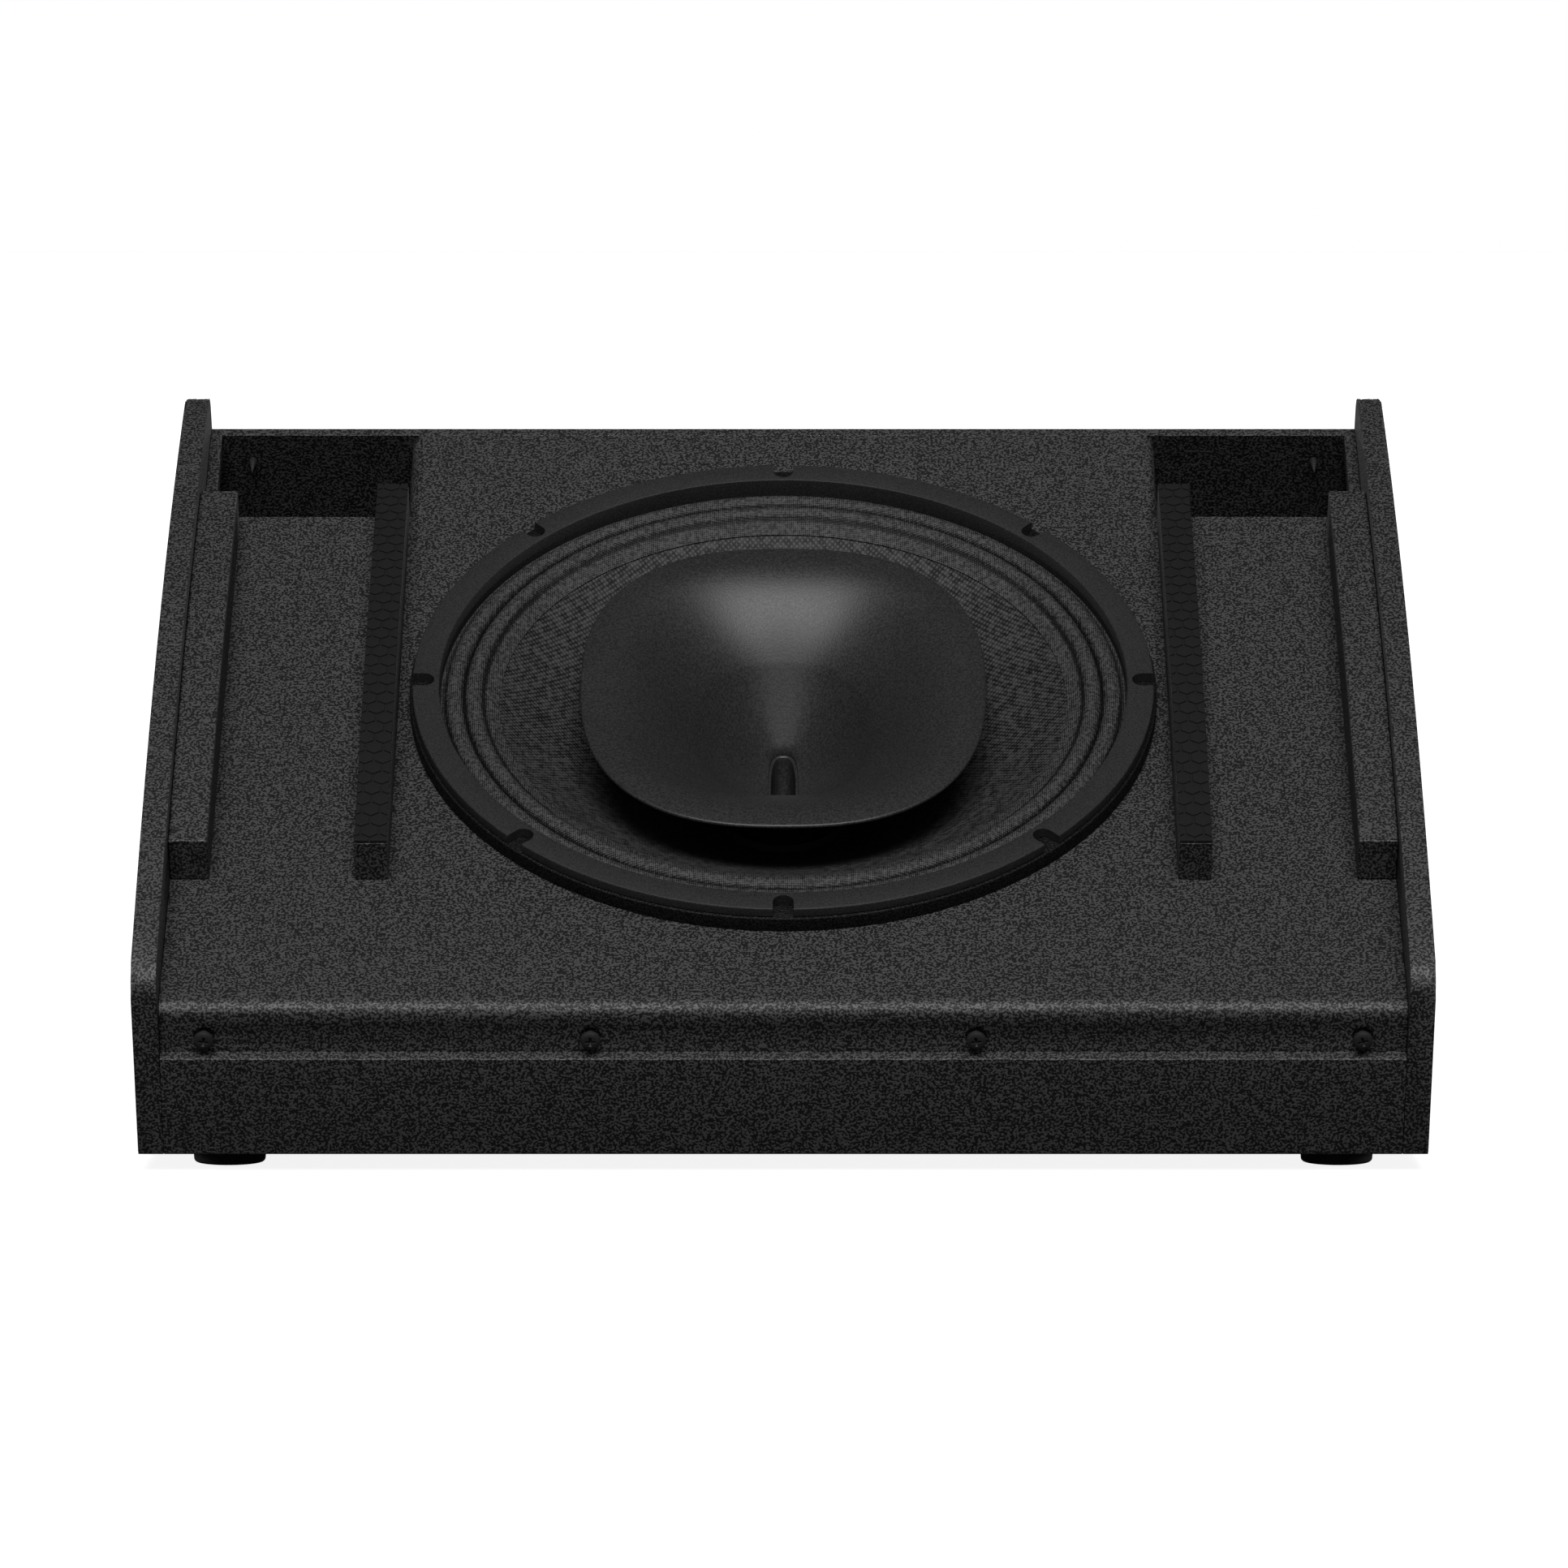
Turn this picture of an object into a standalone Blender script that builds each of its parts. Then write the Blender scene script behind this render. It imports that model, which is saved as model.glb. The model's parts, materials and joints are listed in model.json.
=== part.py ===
"""Stage monitor wedge with a coaxial driver, modelled in metres, +Z up.

The object stands on its four feet at Z = 0, its width runs along X, and its sloping
baffle faces -Y and up. Lengths in the constants below are millimetres.
"""
import math

import bmesh
import bpy
from mathutils import Matrix, Vector

MM = 0.001
GAP = 0.3                       # clearance between pieces that touch

# Cabinet
BODY_WIDTH = 660.0
SIDE_THICKNESS = 13.0
PANEL_THICKNESS = 13.0
FRONT_THICKNESS = 15.6
FOOT_HEIGHT = 9.0
BAFFLE_ANGLE = math.radians(33.0)
BAFFLE_CENTRE_Y = -21.6         # where the driver axis crosses the baffle's face
BAFFLE_CENTRE_Z = 229.7
FACET_TILT = math.tan(math.radians(5.07))
FRONT_FACET_S = -265.9          # side panel's front facet, where it meets the baffle's plane
REAR_FACET_S = 256.9
EDGE_RADIUS = 16.0              # nose and tail of the side panels
ARC_RADIUS = 1583.0             # upper edge of the side panels
ARC_RISE = 43.1                 # its highest point above the baffle
STRIP_DEPTH = 6.0               # recess that takes the grille's folded edge
STRIP_HEIGHT = 27.0
STRIP_ROUNDING = 7.0
REAR_INSET = 8.0                # rear panel's face behind the side panels' edges
INNER_HALF = BODY_WIDTH / 2 - SIDE_THICKNESS

# Ports
PORT_INNER_X = 205.0
PORT_OUTER_X = 310.5
PORT_FRONT_S = 166.5
PORT_DEPTH = 150.0
PORT_ROUNDING = 6.0

# Battens that carry the grille
BATTEN_DROP = 10.5              # grille thickness below the side panels' upper edge
BATTEN_FRONT_S = -155.0
OUTER_BATTEN_REAR_S = 157.0
INNER_BATTEN_REAR_S = 165.0
OUTER_BATTEN_X = 296.5
INNER_BATTEN_X = (204.0, 221.0)
PAD_THICKNESS = 1.5

# Grille screws
SCREW_X = (-294.2, -97.9, 97.9, 294.2)
SCREW_N = -17.5
SCREW_HEAD_RADIUS = 5.0
SCREW_HEAD_HEIGHT = 3.2
SCREW_STAND_OFF = 2.4
SCREW_RADIUS = 2.5
SCREW_LENGTH = 20.0
SCREW_POINT = 9.0
SCREW_RECESS_RADIUS = 5.6

# Feet
FOOT_RADIUS = 19.0
FOOT_X = 285.9
FOOT_FRONT_Y = -160.0
FOOT_REAR_Y = 205.0

# Driver: radii about its axis, heights above the baffle's face
FLANGE_OUTER = 196.5
FLANGE_INNER = 182.3
FLANGE_TOP = 13.5
FLANGE_THICKNESS = 5.2
SPACER_OUTER = 198.0
SPACER_INNER = 186.6
DRUM_OUTER = 185.6
CUTOUT_RADIUS = 186.2
NOTCH_COUNT = 8
NOTCH_WIDTH = 10.7
NOTCH_INNER = 184.9
CONE_EDGE_RADIUS = 157.0
CONE_EDGE_N = 4.0
CONE_NECK_RADIUS = 39.3
CONE_NECK_N = -72.0
PLATE_TOP_N = -95.3
POLE_RADIUS = 37.4

# Horn
HORN_HALF_WIDTH = 107.5
HORN_HALF_HEIGHT = 123.0
HORN_RIM_N = 10.5
HORN_WALL = 3.0
HORN_SHELF = 11.0               # flat rim, before the flare rolls down
SHOULDER_HALF_WIDTH = 40.0      # where the roll meets the straight wall
SHOULDER_HALF_HEIGHT = 59.8
SHOULDER_N = -20.8
ROLL_POWER = 1.8
THROAT_HALF_WIDTH = 6.5
THROAT_HALF_HEIGHT = 26.0
THROAT_N = -57.0
THROAT_EXIT_RADIUS = 12.7

# Rear fittings
CONNECTOR_PLATE = (150.0, 90.0, 3.0)
CONNECTOR_Z = 95.0
CONNECTOR_SPACING = 56.0
HANDLE_Z = 222.0
HANDLE_CUP = (168.0, 78.0, 50.0)
HANDLE_FLANGE = 14.0

SEGMENTS = 40

SLOPE = Vector((0.0, math.cos(BAFFLE_ANGLE), math.sin(BAFFLE_ANGLE)))
NORMAL = Vector((0.0, -math.sin(BAFFLE_ANGLE), math.cos(BAFFLE_ANGLE)))
BAFFLE_ORIGIN = Vector((0.0, BAFFLE_CENTRE_Y, BAFFLE_CENTRE_Z))


# ---------------------------------------------------------------- scene helpers

def clear_scene():
    for obj in list(bpy.data.objects):
        bpy.data.objects.remove(obj, do_unlink=True)


def make_material(name, colour, roughness, metallic=0.0):
    material = bpy.data.materials.new(name)
    material.use_nodes = True
    shader = material.node_tree.nodes["Principled BSDF"]
    shader.inputs["Base Color"].default_value = (*colour, 1.0)
    shader.inputs["Roughness"].default_value = roughness
    shader.inputs["Metallic"].default_value = metallic
    return material


def frame_matrix(origin, x_axis, y_axis, z_axis):
    """World matrix of a frame whose origin is in millimetres."""
    rotation = Matrix((x_axis, y_axis, z_axis)).transposed().to_4x4()
    return Matrix.Translation(origin * MM) @ rotation


WORLD = Matrix.Identity(4)
BAFFLE = frame_matrix(BAFFLE_ORIGIN, Vector((1, 0, 0)), SLOPE, NORMAL)


def finish(name, mesh_builder, matrix, material, smooth=False):
    """Turn a bmesh in millimetres into an object placed by its matrix."""
    bmesh.ops.remove_doubles(mesh_builder, verts=mesh_builder.verts, dist=0.0005)
    bmesh.ops.recalc_face_normals(mesh_builder, faces=mesh_builder.faces)
    bmesh.ops.scale(mesh_builder, vec=(MM, MM, MM), verts=mesh_builder.verts)
    mesh = bpy.data.meshes.new(name)
    mesh_builder.to_mesh(mesh)
    mesh_builder.free()
    if smooth:
        mesh.shade_smooth()
        mesh.set_sharp_from_angle(angle=math.radians(35))
    obj = bpy.data.objects.new(name, mesh)
    obj.matrix_world = matrix
    if material is not None:
        mesh.materials.append(material)
    bpy.context.scene.collection.objects.link(obj)
    return obj


def as_cutter(obj):
    obj.hide_render = True
    obj.display_type = 'WIRE'
    return obj


def cut(target, cutter):
    modifier = target.modifiers.new("cut_" + cutter.name, 'BOOLEAN')
    modifier.operation = 'DIFFERENCE'
    modifier.object = cutter
    modifier.solver = 'EXACT'


# ---------------------------------------------------------------- mesh helpers

def add_loft(mesh_builder, rings, closed=False):
    """Join rings of equal length; cap the ends unless the loft closes on itself."""
    rows = [[mesh_builder.verts.new(point) for point in ring] for ring in rings]
    count = len(rows[0])
    pairs = list(zip(rows, rows[1:]))
    if closed:
        pairs.append((rows[-1], rows[0]))
    for low, high in pairs:
        for i in range(count):
            j = (i + 1) % count
            mesh_builder.faces.new((low[i], low[j], high[j], high[i]))
    if not closed:
        mesh_builder.faces.new(list(reversed(rows[0])))
        mesh_builder.faces.new(rows[-1])
    return rows


def add_prism(mesh_builder, outline, low, high, place):
    """Extrude a flat outline; place(a, b, h) gives each corner's position."""
    rings = [[place(a, b, h) for a, b in outline] for h in (low, high)]
    return add_loft(mesh_builder, rings)


def along_x(a, b, h):
    return (h, a, b)


def along_y(a, b, h):
    return (a, h, b)


def along_z(a, b, h):
    return (a, b, h)


def rectangle(a0, a1, b0, b1):
    return [(a0, b0), (a1, b0), (a1, b1), (a0, b1)]


def rounded_rectangle(half_a, half_b, radius, steps=4, centre=(0.0, 0.0)):
    points = []
    corners = ((1, 1, 0), (-1, 1, 90), (-1, -1, 180), (1, -1, 270))
    for sign_a, sign_b, start in corners:
        for i in range(steps + 1):
            angle = math.radians(start + 90.0 * i / steps)
            a = sign_a * (half_a - radius) + radius * math.cos(angle)
            b = sign_b * (half_b - radius) + radius * math.sin(angle)
            points.append((centre[0] + a, centre[1] + b))
    return points


def circle(radius, count, centre=(0.0, 0.0)):
    turn = 2 * math.pi / count
    return [(centre[0] + radius * math.cos(i * turn), centre[1] + radius * math.sin(i * turn))
            for i in range(count)]


def rounded_outline(corners, steps=6):
    """Outline through (point, radius) corners, each rounded by its own arc."""
    points = []
    total = len(corners)
    for i, (corner, radius) in enumerate(corners):
        if radius <= 0.0:
            points.append(corner)
            continue
        here = Vector(corner)
        back = (Vector(corners[i - 1][0]) - here).normalized()
        ahead = (Vector(corners[(i + 1) % total][0]) - here).normalized()
        half_angle = back.angle(ahead) / 2
        reach = radius / math.tan(half_angle)
        centre = here + (back + ahead).normalized() * radius / math.sin(half_angle)
        first = here + back * reach - centre
        last = here + ahead * reach - centre
        sweep = first.angle_signed(last)
        for k in range(steps + 1):
            turned = first.copy()
            turned.rotate(Matrix.Rotation(-sweep * k / steps, 2))
            points.append(tuple(centre + turned))
    return points


def add_turned(mesh_builder, profile, segments, centre=(0.0, 0.0)):
    """Solid of revolution about the local Z axis from a closed (radius, height) outline."""
    turn = 2 * math.pi / segments
    rings = []
    for i in range(segments):
        c, s = math.cos(i * turn), math.sin(i * turn)
        rings.append([(centre[0] + r * c, centre[1] + r * s, h) for r, h in profile])
    add_loft(mesh_builder, rings, closed=True)


def add_stack(mesh_builder, levels, segments, centre=(0.0, 0.0)):
    """Solid round stack of (radius, height) levels with flat ends."""
    rings = [[(x, y, h) for x, y in circle(r, segments, centre)] for r, h in levels]
    add_loft(mesh_builder, rings)


def turned_object(name, profile, matrix, material, segments=SEGMENTS):
    mesh_builder = bmesh.new()
    add_turned(mesh_builder, profile, segments)
    return finish(name, mesh_builder, matrix, material, smooth=True)


def prism_object(name, outline, low, high, place, matrix, material):
    mesh_builder = bmesh.new()
    add_prism(mesh_builder, outline, low, high, place)
    return finish(name, mesh_builder, matrix, material)


def shell_profile(line, thickness):
    """Closed outline of a thin sheet from its upper line of (radius, height) points."""
    below = []
    for i, (r, h) in enumerate(line):
        r0, h0 = line[max(i - 1, 0)]
        r1, h1 = line[min(i + 1, len(line) - 1)]
        length = math.hypot(r1 - r0, h1 - h0)
        normal_r, normal_h = -(h1 - h0) / length, (r1 - r0) / length
        if normal_h < 0:
            normal_r, normal_h = -normal_r, -normal_h
        below.append((r - normal_r * thickness, h - normal_h * thickness))
    return list(line) + list(reversed(below))


# ---------------------------------------------------------------- cabinet geometry

def to_yz(s, n):
    """World Y and Z of a point s up the slope and n above the baffle's face."""
    point = BAFFLE_ORIGIN + SLOPE * s + NORMAL * n
    return (point.y, point.z)


def front_s(n, inset=0.0):
    return FRONT_FACET_S + FACET_TILT * n + inset / math.cos(math.atan(FACET_TILT))


def rear_s(n, inset=0.0):
    return REAR_FACET_S - FACET_TILT * n - inset / math.cos(math.atan(FACET_TILT))


def arc_n(s, drop=0.0):
    middle = (FRONT_FACET_S + REAR_FACET_S) / 2
    return ARC_RISE - drop - (s - middle) ** 2 / (2 * ARC_RADIUS)


def facet_at_height(facet, inset, z):
    """Point of a facet's plane at world height z, by bisection along n."""
    low, high = -400.0, 60.0
    for _ in range(60):
        middle = (low + high) / 2
        if to_yz(facet(middle, inset), middle)[1] < z:
            low = middle
        else:
            high = middle
    return to_yz(facet(low, inset), low)


def facet_at_depth(facet, inset, y):
    """Point of the rear facet's plane at world Y."""
    low, high = -400.0, 60.0
    for _ in range(60):
        middle = (low + high) / 2
        if to_yz(facet(middle, inset), middle)[0] > y:
            low = middle
        else:
            high = middle
    return to_yz(facet(low, inset), low)


def side_corner(facet):
    """Where the side panel's upper arc meets a facet's plane."""
    n = ARC_RISE
    for _ in range(40):
        n = arc_n(facet(n))
    return facet(n), n


FRONT_CORNER = side_corner(front_s)
REAR_CORNER = side_corner(rear_s)


def side_outline():
    arc_steps = 14
    s0, s1 = FRONT_CORNER[0], REAR_CORNER[0]
    corners = [(facet_at_height(front_s, 0.0, FOOT_HEIGHT), 2.0)]
    corners.append((to_yz(*FRONT_CORNER), EDGE_RADIUS))
    for i in range(1, arc_steps):
        s = s0 + (s1 - s0) * i / arc_steps
        corners.append((to_yz(s, arc_n(s)), 0.0))
    corners.append((to_yz(*REAR_CORNER), EDGE_RADIUS))
    corners.append((facet_at_depth(rear_s, 0.0, REAR_Y), 3.0))
    corners.append(((REAR_Y, FOOT_HEIGHT), 3.0))
    return rounded_outline(corners)


def nose_y():
    """Foremost point of the rounded nose."""
    s, n = FRONT_CORNER
    corner = Vector(to_yz(s, n))
    ahead = (Vector(to_yz(s + 20, arc_n(s + 20))) - corner).normalized()
    down = (Vector(facet_at_height(front_s, 0.0, FOOT_HEIGHT)) - corner).normalized()
    half_angle = ahead.angle(down) / 2
    centre = corner + (ahead + down).normalized() * EDGE_RADIUS / math.sin(half_angle)
    return centre.x - EDGE_RADIUS


REAR_Y = -nose_y()
REAR_FACE_Y = REAR_Y - REAR_INSET
REAR_INNER_Y = REAR_FACE_Y - PANEL_THICKNESS
REAR_CORNER_Z = facet_at_depth(rear_s, 0.0, REAR_Y)[1]
FLOOR_Z = FOOT_HEIGHT + PANEL_THICKNESS


def make_side_panel(name, sign, material):
    """Side panel with its outer edges eased over."""
    mesh_builder = bmesh.new()
    outer = sign * BODY_WIDTH / 2
    inner = sign * INNER_HALF
    rows = add_prism(mesh_builder, side_outline(), inner, outer, along_x)
    edges = [mesh_builder.edges.get((a, b)) for a, b in zip(rows[1], rows[1][1:] + rows[1][:1])]
    bmesh.ops.bevel(mesh_builder, geom=edges, offset=4.5, segments=3, profile=0.5,
                    affect='EDGES', clamp_overlap=True)
    return finish(name, mesh_builder, WORLD, material, smooth=True)


def make_front_panel(material):
    strip = front_s(0.0, STRIP_DEPTH)
    corners = [
        (facet_at_height(front_s, 0.0, FOOT_HEIGHT), 2.0),
        (to_yz(front_s(-STRIP_HEIGHT), -STRIP_HEIGHT), 0.8),
        (to_yz(front_s(-STRIP_HEIGHT, STRIP_DEPTH), -STRIP_HEIGHT), 0.0),
        (to_yz(strip, 0.0), STRIP_ROUNDING),
        (to_yz(front_s(0.0, FRONT_THICKNESS), 0.0), 0.0),
        (facet_at_height(front_s, FRONT_THICKNESS, FOOT_HEIGHT), 0.0),
    ]
    half = INNER_HALF - GAP
    panel = prism_object("front_panel", rounded_outline(corners), -half, half, along_x, WORLD,
                         material)
    cut(panel, screw_hole_cutter("front_screw_holes", front_screw_matrix))
    return panel


def make_bottom_panel(material):
    corners = [
        facet_at_height(front_s, FRONT_THICKNESS + GAP, FOOT_HEIGHT),
        (REAR_INNER_Y - GAP, FOOT_HEIGHT),
        (REAR_INNER_Y - GAP, FLOOR_Z),
        facet_at_height(front_s, FRONT_THICKNESS + GAP, FLOOR_Z),
    ]
    half = INNER_HALF - GAP
    return prism_object("bottom_panel", corners, -half, half, along_x, WORLD, material)


def make_rear_panel(material):
    outline = rectangle(REAR_INNER_Y, REAR_FACE_Y, FOOT_HEIGHT, REAR_CORNER_Z - GAP)
    half = INNER_HALF - GAP
    panel = prism_object("rear_panel", outline, -half, half, along_x, WORLD, material)
    width, height, _ = CONNECTOR_PLATE
    opening = rounded_rectangle(width / 2 - 12, height / 2 - 12, 4, 2, (0.0, CONNECTOR_Z))
    handle = rounded_rectangle(HANDLE_CUP[0] / 2 + GAP, HANDLE_CUP[1] / 2 + GAP, 12 + GAP, 3,
                               (0.0, HANDLE_Z))
    for name, hole in (("connector_opening", opening), ("handle_opening", handle)):
        cutter = prism_object(name, hole, REAR_INNER_Y - 10, REAR_FACE_Y + 10, along_y, WORLD, None)
        cut(panel, as_cutter(cutter))
    pilots = bmesh.new()
    for x, z in plate_screw_places():
        add_prism(pilots, circle(1.9, 8, (x, z)), REAR_FACE_Y - 8, REAR_FACE_Y + 8, along_y)
    cut(panel, as_cutter(finish("plate_screw_pilots", pilots, WORLD, None)))
    return panel


def make_rear_upper_panel(material):
    corners = [
        (to_yz(rear_s(0.0, STRIP_DEPTH), 0.0), 1.5),
        (to_yz(rear_s(-STRIP_HEIGHT, STRIP_DEPTH), -STRIP_HEIGHT), 0.0),
        (to_yz(rear_s(-STRIP_HEIGHT), -STRIP_HEIGHT), 0.8),
        (facet_at_height(rear_s, 0.0, REAR_CORNER_Z), 0.0),
        (facet_at_height(rear_s, PANEL_THICKNESS, REAR_CORNER_Z), 0.0),
        (to_yz(rear_s(0.0, PANEL_THICKNESS), 0.0), 0.0),
    ]
    half = INNER_HALF - GAP
    panel = prism_object("rear_upper_panel", rounded_outline(corners, 3), -half, half, along_x,
                         WORLD, material)
    cut(panel, screw_hole_cutter("rear_screw_holes", rear_screw_matrix))
    return panel


def port_mouth(sign):
    """Port mouth across the width: its inner edge is rounded over."""
    r = PORT_ROUNDING
    points = [(PORT_OUTER_X, -40.0), (PORT_INNER_X, -40.0)]
    for i in range(5):
        angle = math.radians(90.0 * i / 4)
        points.append((PORT_INNER_X - r + r * math.cos(angle), -r + r * math.sin(angle)))
    points.append((PORT_INNER_X - r, 20.0))
    points.append((PORT_OUTER_X, 20.0))
    return [(sign * x, n) for x, n in points]


def make_baffle(material):
    half = INNER_HALF - GAP
    front = front_s(0.0, FRONT_THICKNESS + GAP)
    front_low = front_s(-PANEL_THICKNESS, FRONT_THICKNESS + GAP)
    rear = rear_s(0.0, PANEL_THICKNESS + GAP)
    rear_low = rear_s(-PANEL_THICKNESS, PANEL_THICKNESS + GAP)
    outline = [(front, 0.0), (front_low, -PANEL_THICKNESS), (rear_low, -PANEL_THICKNESS),
               (rear, 0.0)]
    baffle = prism_object("baffle", outline, -half, half, along_x, BAFFLE, material)
    mesh_builder = bmesh.new()
    add_stack(mesh_builder, [(CUTOUT_RADIUS, -40.0), (CUTOUT_RADIUS, 20.0)], SEGMENTS)
    cut(baffle, as_cutter(finish("driver_cutout", mesh_builder, BAFFLE, None)))
    for side, sign in (("left", -1), ("right", 1)):
        mouth = prism_object("port_cutout_" + side, port_mouth(sign), PORT_FRONT_S, rear + 20,
                             along_y, BAFFLE, None)
        cut(baffle, as_cutter(mouth))
    return baffle


def make_port_plates(material):
    """Each port is a duct between two plates, the side panel and the rear panels."""
    top = -PANEL_THICKNESS - GAP
    plate = 12.0
    front = PORT_FRONT_S - plate
    for side, sign in (("left", -1), ("right", 1)):
        outline = [(front, top), (front, -PORT_DEPTH), (PORT_FRONT_S, -PORT_DEPTH),
                   (PORT_FRONT_S, top)]
        low, high = sorted((sign * (PORT_INNER_X + GAP), sign * (INNER_HALF - GAP)))
        prism_object("port_front_plate_" + side, outline, low, high, along_x, BAFFLE, material)
        inner = PANEL_THICKNESS + GAP
        rear_y = REAR_INNER_Y - GAP
        bend_z = REAR_CORNER_Z - GAP - 1.0
        corners = [
            to_yz(front, top),
            to_yz(rear_s(top, inner), top),
            facet_at_height(rear_s, inner + 6.0, bend_z),
            (rear_y, bend_z),
            (rear_y, to_yz(front, -PORT_DEPTH)[1] + 20.0),
            to_yz(front, -PORT_DEPTH),
        ]
        low, high = sorted((sign * (PORT_INNER_X - plate), sign * PORT_INNER_X))
        prism_object("port_side_plate_" + side, corners, low, high, along_x, WORLD, material)


def curved_bar(front, rear, low, drop, steps=8):
    """Outline of a bar whose top keeps a fixed distance below the side panels' arc."""
    points = [(rear, low(rear)), (front, low(front))]
    for i in range(steps + 1):
        s = front + (rear - front) * i / steps
        points.append((s, arc_n(s, drop)))
    return points


def make_battens(wood, rubber):
    for side, sign in (("left", -1), ("right", 1)):
        outline = curved_bar(BATTEN_FRONT_S, OUTER_BATTEN_REAR_S, lambda s: GAP, BATTEN_DROP)
        low, high = sorted((sign * OUTER_BATTEN_X, sign * (INNER_HALF - GAP)))
        prism_object("outer_batten_" + side, outline, low, high, along_x, BAFFLE, wood)
        drop = BATTEN_DROP + PAD_THICKNESS + GAP
        outline = curved_bar(BATTEN_FRONT_S, INNER_BATTEN_REAR_S, lambda s: GAP, drop)
        low, high = sorted((sign * INNER_BATTEN_X[0], sign * INNER_BATTEN_X[1]))
        prism_object("inner_batten_" + side, outline, low, high, along_x, BAFFLE, wood)
        make_grille_pad("grille_pad_" + side, low, high, rubber)


def make_grille_pad(name, low, high, material, steps=8):
    upper = []
    lower = []
    for i in range(steps + 1):
        s = BATTEN_FRONT_S + (INNER_BATTEN_REAR_S - BATTEN_FRONT_S) * i / steps
        upper.append((s, arc_n(s, BATTEN_DROP)))
        lower.append((s, arc_n(s, BATTEN_DROP + PAD_THICKNESS)))
    outline = upper + list(reversed(lower))
    prism_object(name, outline, low + 0.2, high - 0.2, along_x, BAFFLE, material)


# ---------------------------------------------------------------- screws and feet

def facet_screw_matrix(x, facet, side):
    """Frame on a recessed strip: Z points out of the strip, along the screw."""
    s = facet(SCREW_N, STRIP_DEPTH)
    tilt = math.atan(FACET_TILT)
    outward = (SLOPE * side * math.cos(tilt) + NORMAL * math.sin(tilt)).normalized()
    origin = BAFFLE_ORIGIN + SLOPE * s + NORMAL * SCREW_N + Vector((x, 0, 0))
    x_axis = Vector((1, 0, 0))
    return frame_matrix(origin, x_axis, outward.cross(x_axis), outward)


def front_screw_matrix(x):
    return facet_screw_matrix(x, front_s, -1)


def rear_screw_matrix(x):
    return facet_screw_matrix(x, rear_s, 1)


def screw_hole_cutter(name, matrix_of):
    """Four holes with a wide mouth, as one set of cutting cylinders."""
    mesh_builder = bmesh.new()
    levels = [(SCREW_RADIUS + GAP, -40.0), (SCREW_RADIUS + GAP, -3.0),
              (SCREW_RECESS_RADIUS, -3.0), (SCREW_RECESS_RADIUS, 8.0)]
    for x in SCREW_X:
        add_stack(mesh_builder, levels, 12, (x, 0.0))
    return as_cutter(finish(name, mesh_builder, matrix_of(0.0), None))


def make_pan_screw(name, matrix, material, length=SCREW_LENGTH, point=SCREW_POINT,
                   stand_off=SCREW_STAND_OFF, scale=1.0):
    """Pan-head screw whose head stands off the face it clamps to."""
    head = SCREW_HEAD_RADIUS * scale
    shank = SCREW_RADIUS * scale
    height = SCREW_HEAD_HEIGHT * scale
    mesh_builder = bmesh.new()
    levels = [(0.35, stand_off - length), (shank, stand_off - length + point), (shank, stand_off),
              (head, stand_off), (head, stand_off + height * 0.5),
              (head * 0.62, stand_off + height)]
    add_stack(mesh_builder, levels, 10)
    return finish(name, mesh_builder, matrix, material, smooth=True)


def make_feet(material):
    places = (("front_left", -1, FOOT_FRONT_Y), ("front_right", 1, FOOT_FRONT_Y),
              ("rear_left", -1, FOOT_REAR_Y), ("rear_right", 1, FOOT_REAR_Y))
    for name, sign, y in places:
        top = FOOT_HEIGHT - GAP
        profile = [(5.0, 0.0), (FOOT_RADIUS - 2.4, 0.0), (FOOT_RADIUS - 0.5, 1.8),
                   (FOOT_RADIUS, top), (2.4, top), (2.4, 4.0), (5.0, 4.0)]
        matrix = Matrix.Translation(Vector((sign * FOOT_X, y, 0.0)) * MM)
        turned_object("rubber_foot_" + name, profile, matrix, material, 20)


# ---------------------------------------------------------------- driver

def make_spacer_ring(material):
    top = FLANGE_TOP - FLANGE_THICKNESS - GAP
    profile = [(SPACER_INNER, GAP), (SPACER_OUTER, GAP), (SPACER_OUTER, top), (SPACER_INNER, top)]
    return turned_object("driver_spacer_ring", profile, BAFFLE, material)


def basket_profile():
    under = FLANGE_TOP - FLANGE_THICKNESS
    return [
        (FLANGE_INNER, FLANGE_TOP), (FLANGE_OUTER, FLANGE_TOP), (FLANGE_OUTER, under),
        (DRUM_OUTER, under), (DRUM_OUTER, -14.0), (178.0, -26.0), (102.0, -87.0),
        (80.0, -89.0), (78.0, -95.0), (52.0, -95.0), (52.0, -91.5), (73.0, -91.5),
        (75.0, -84.0), (84.0, -81.0), (99.0, -81.0), (174.0, -21.5), (180.5, -12.0),
        (180.5, 0.5), (176.5, 0.5), (176.5, 3.0), (FLANGE_INNER, 3.0),
    ]


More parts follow.
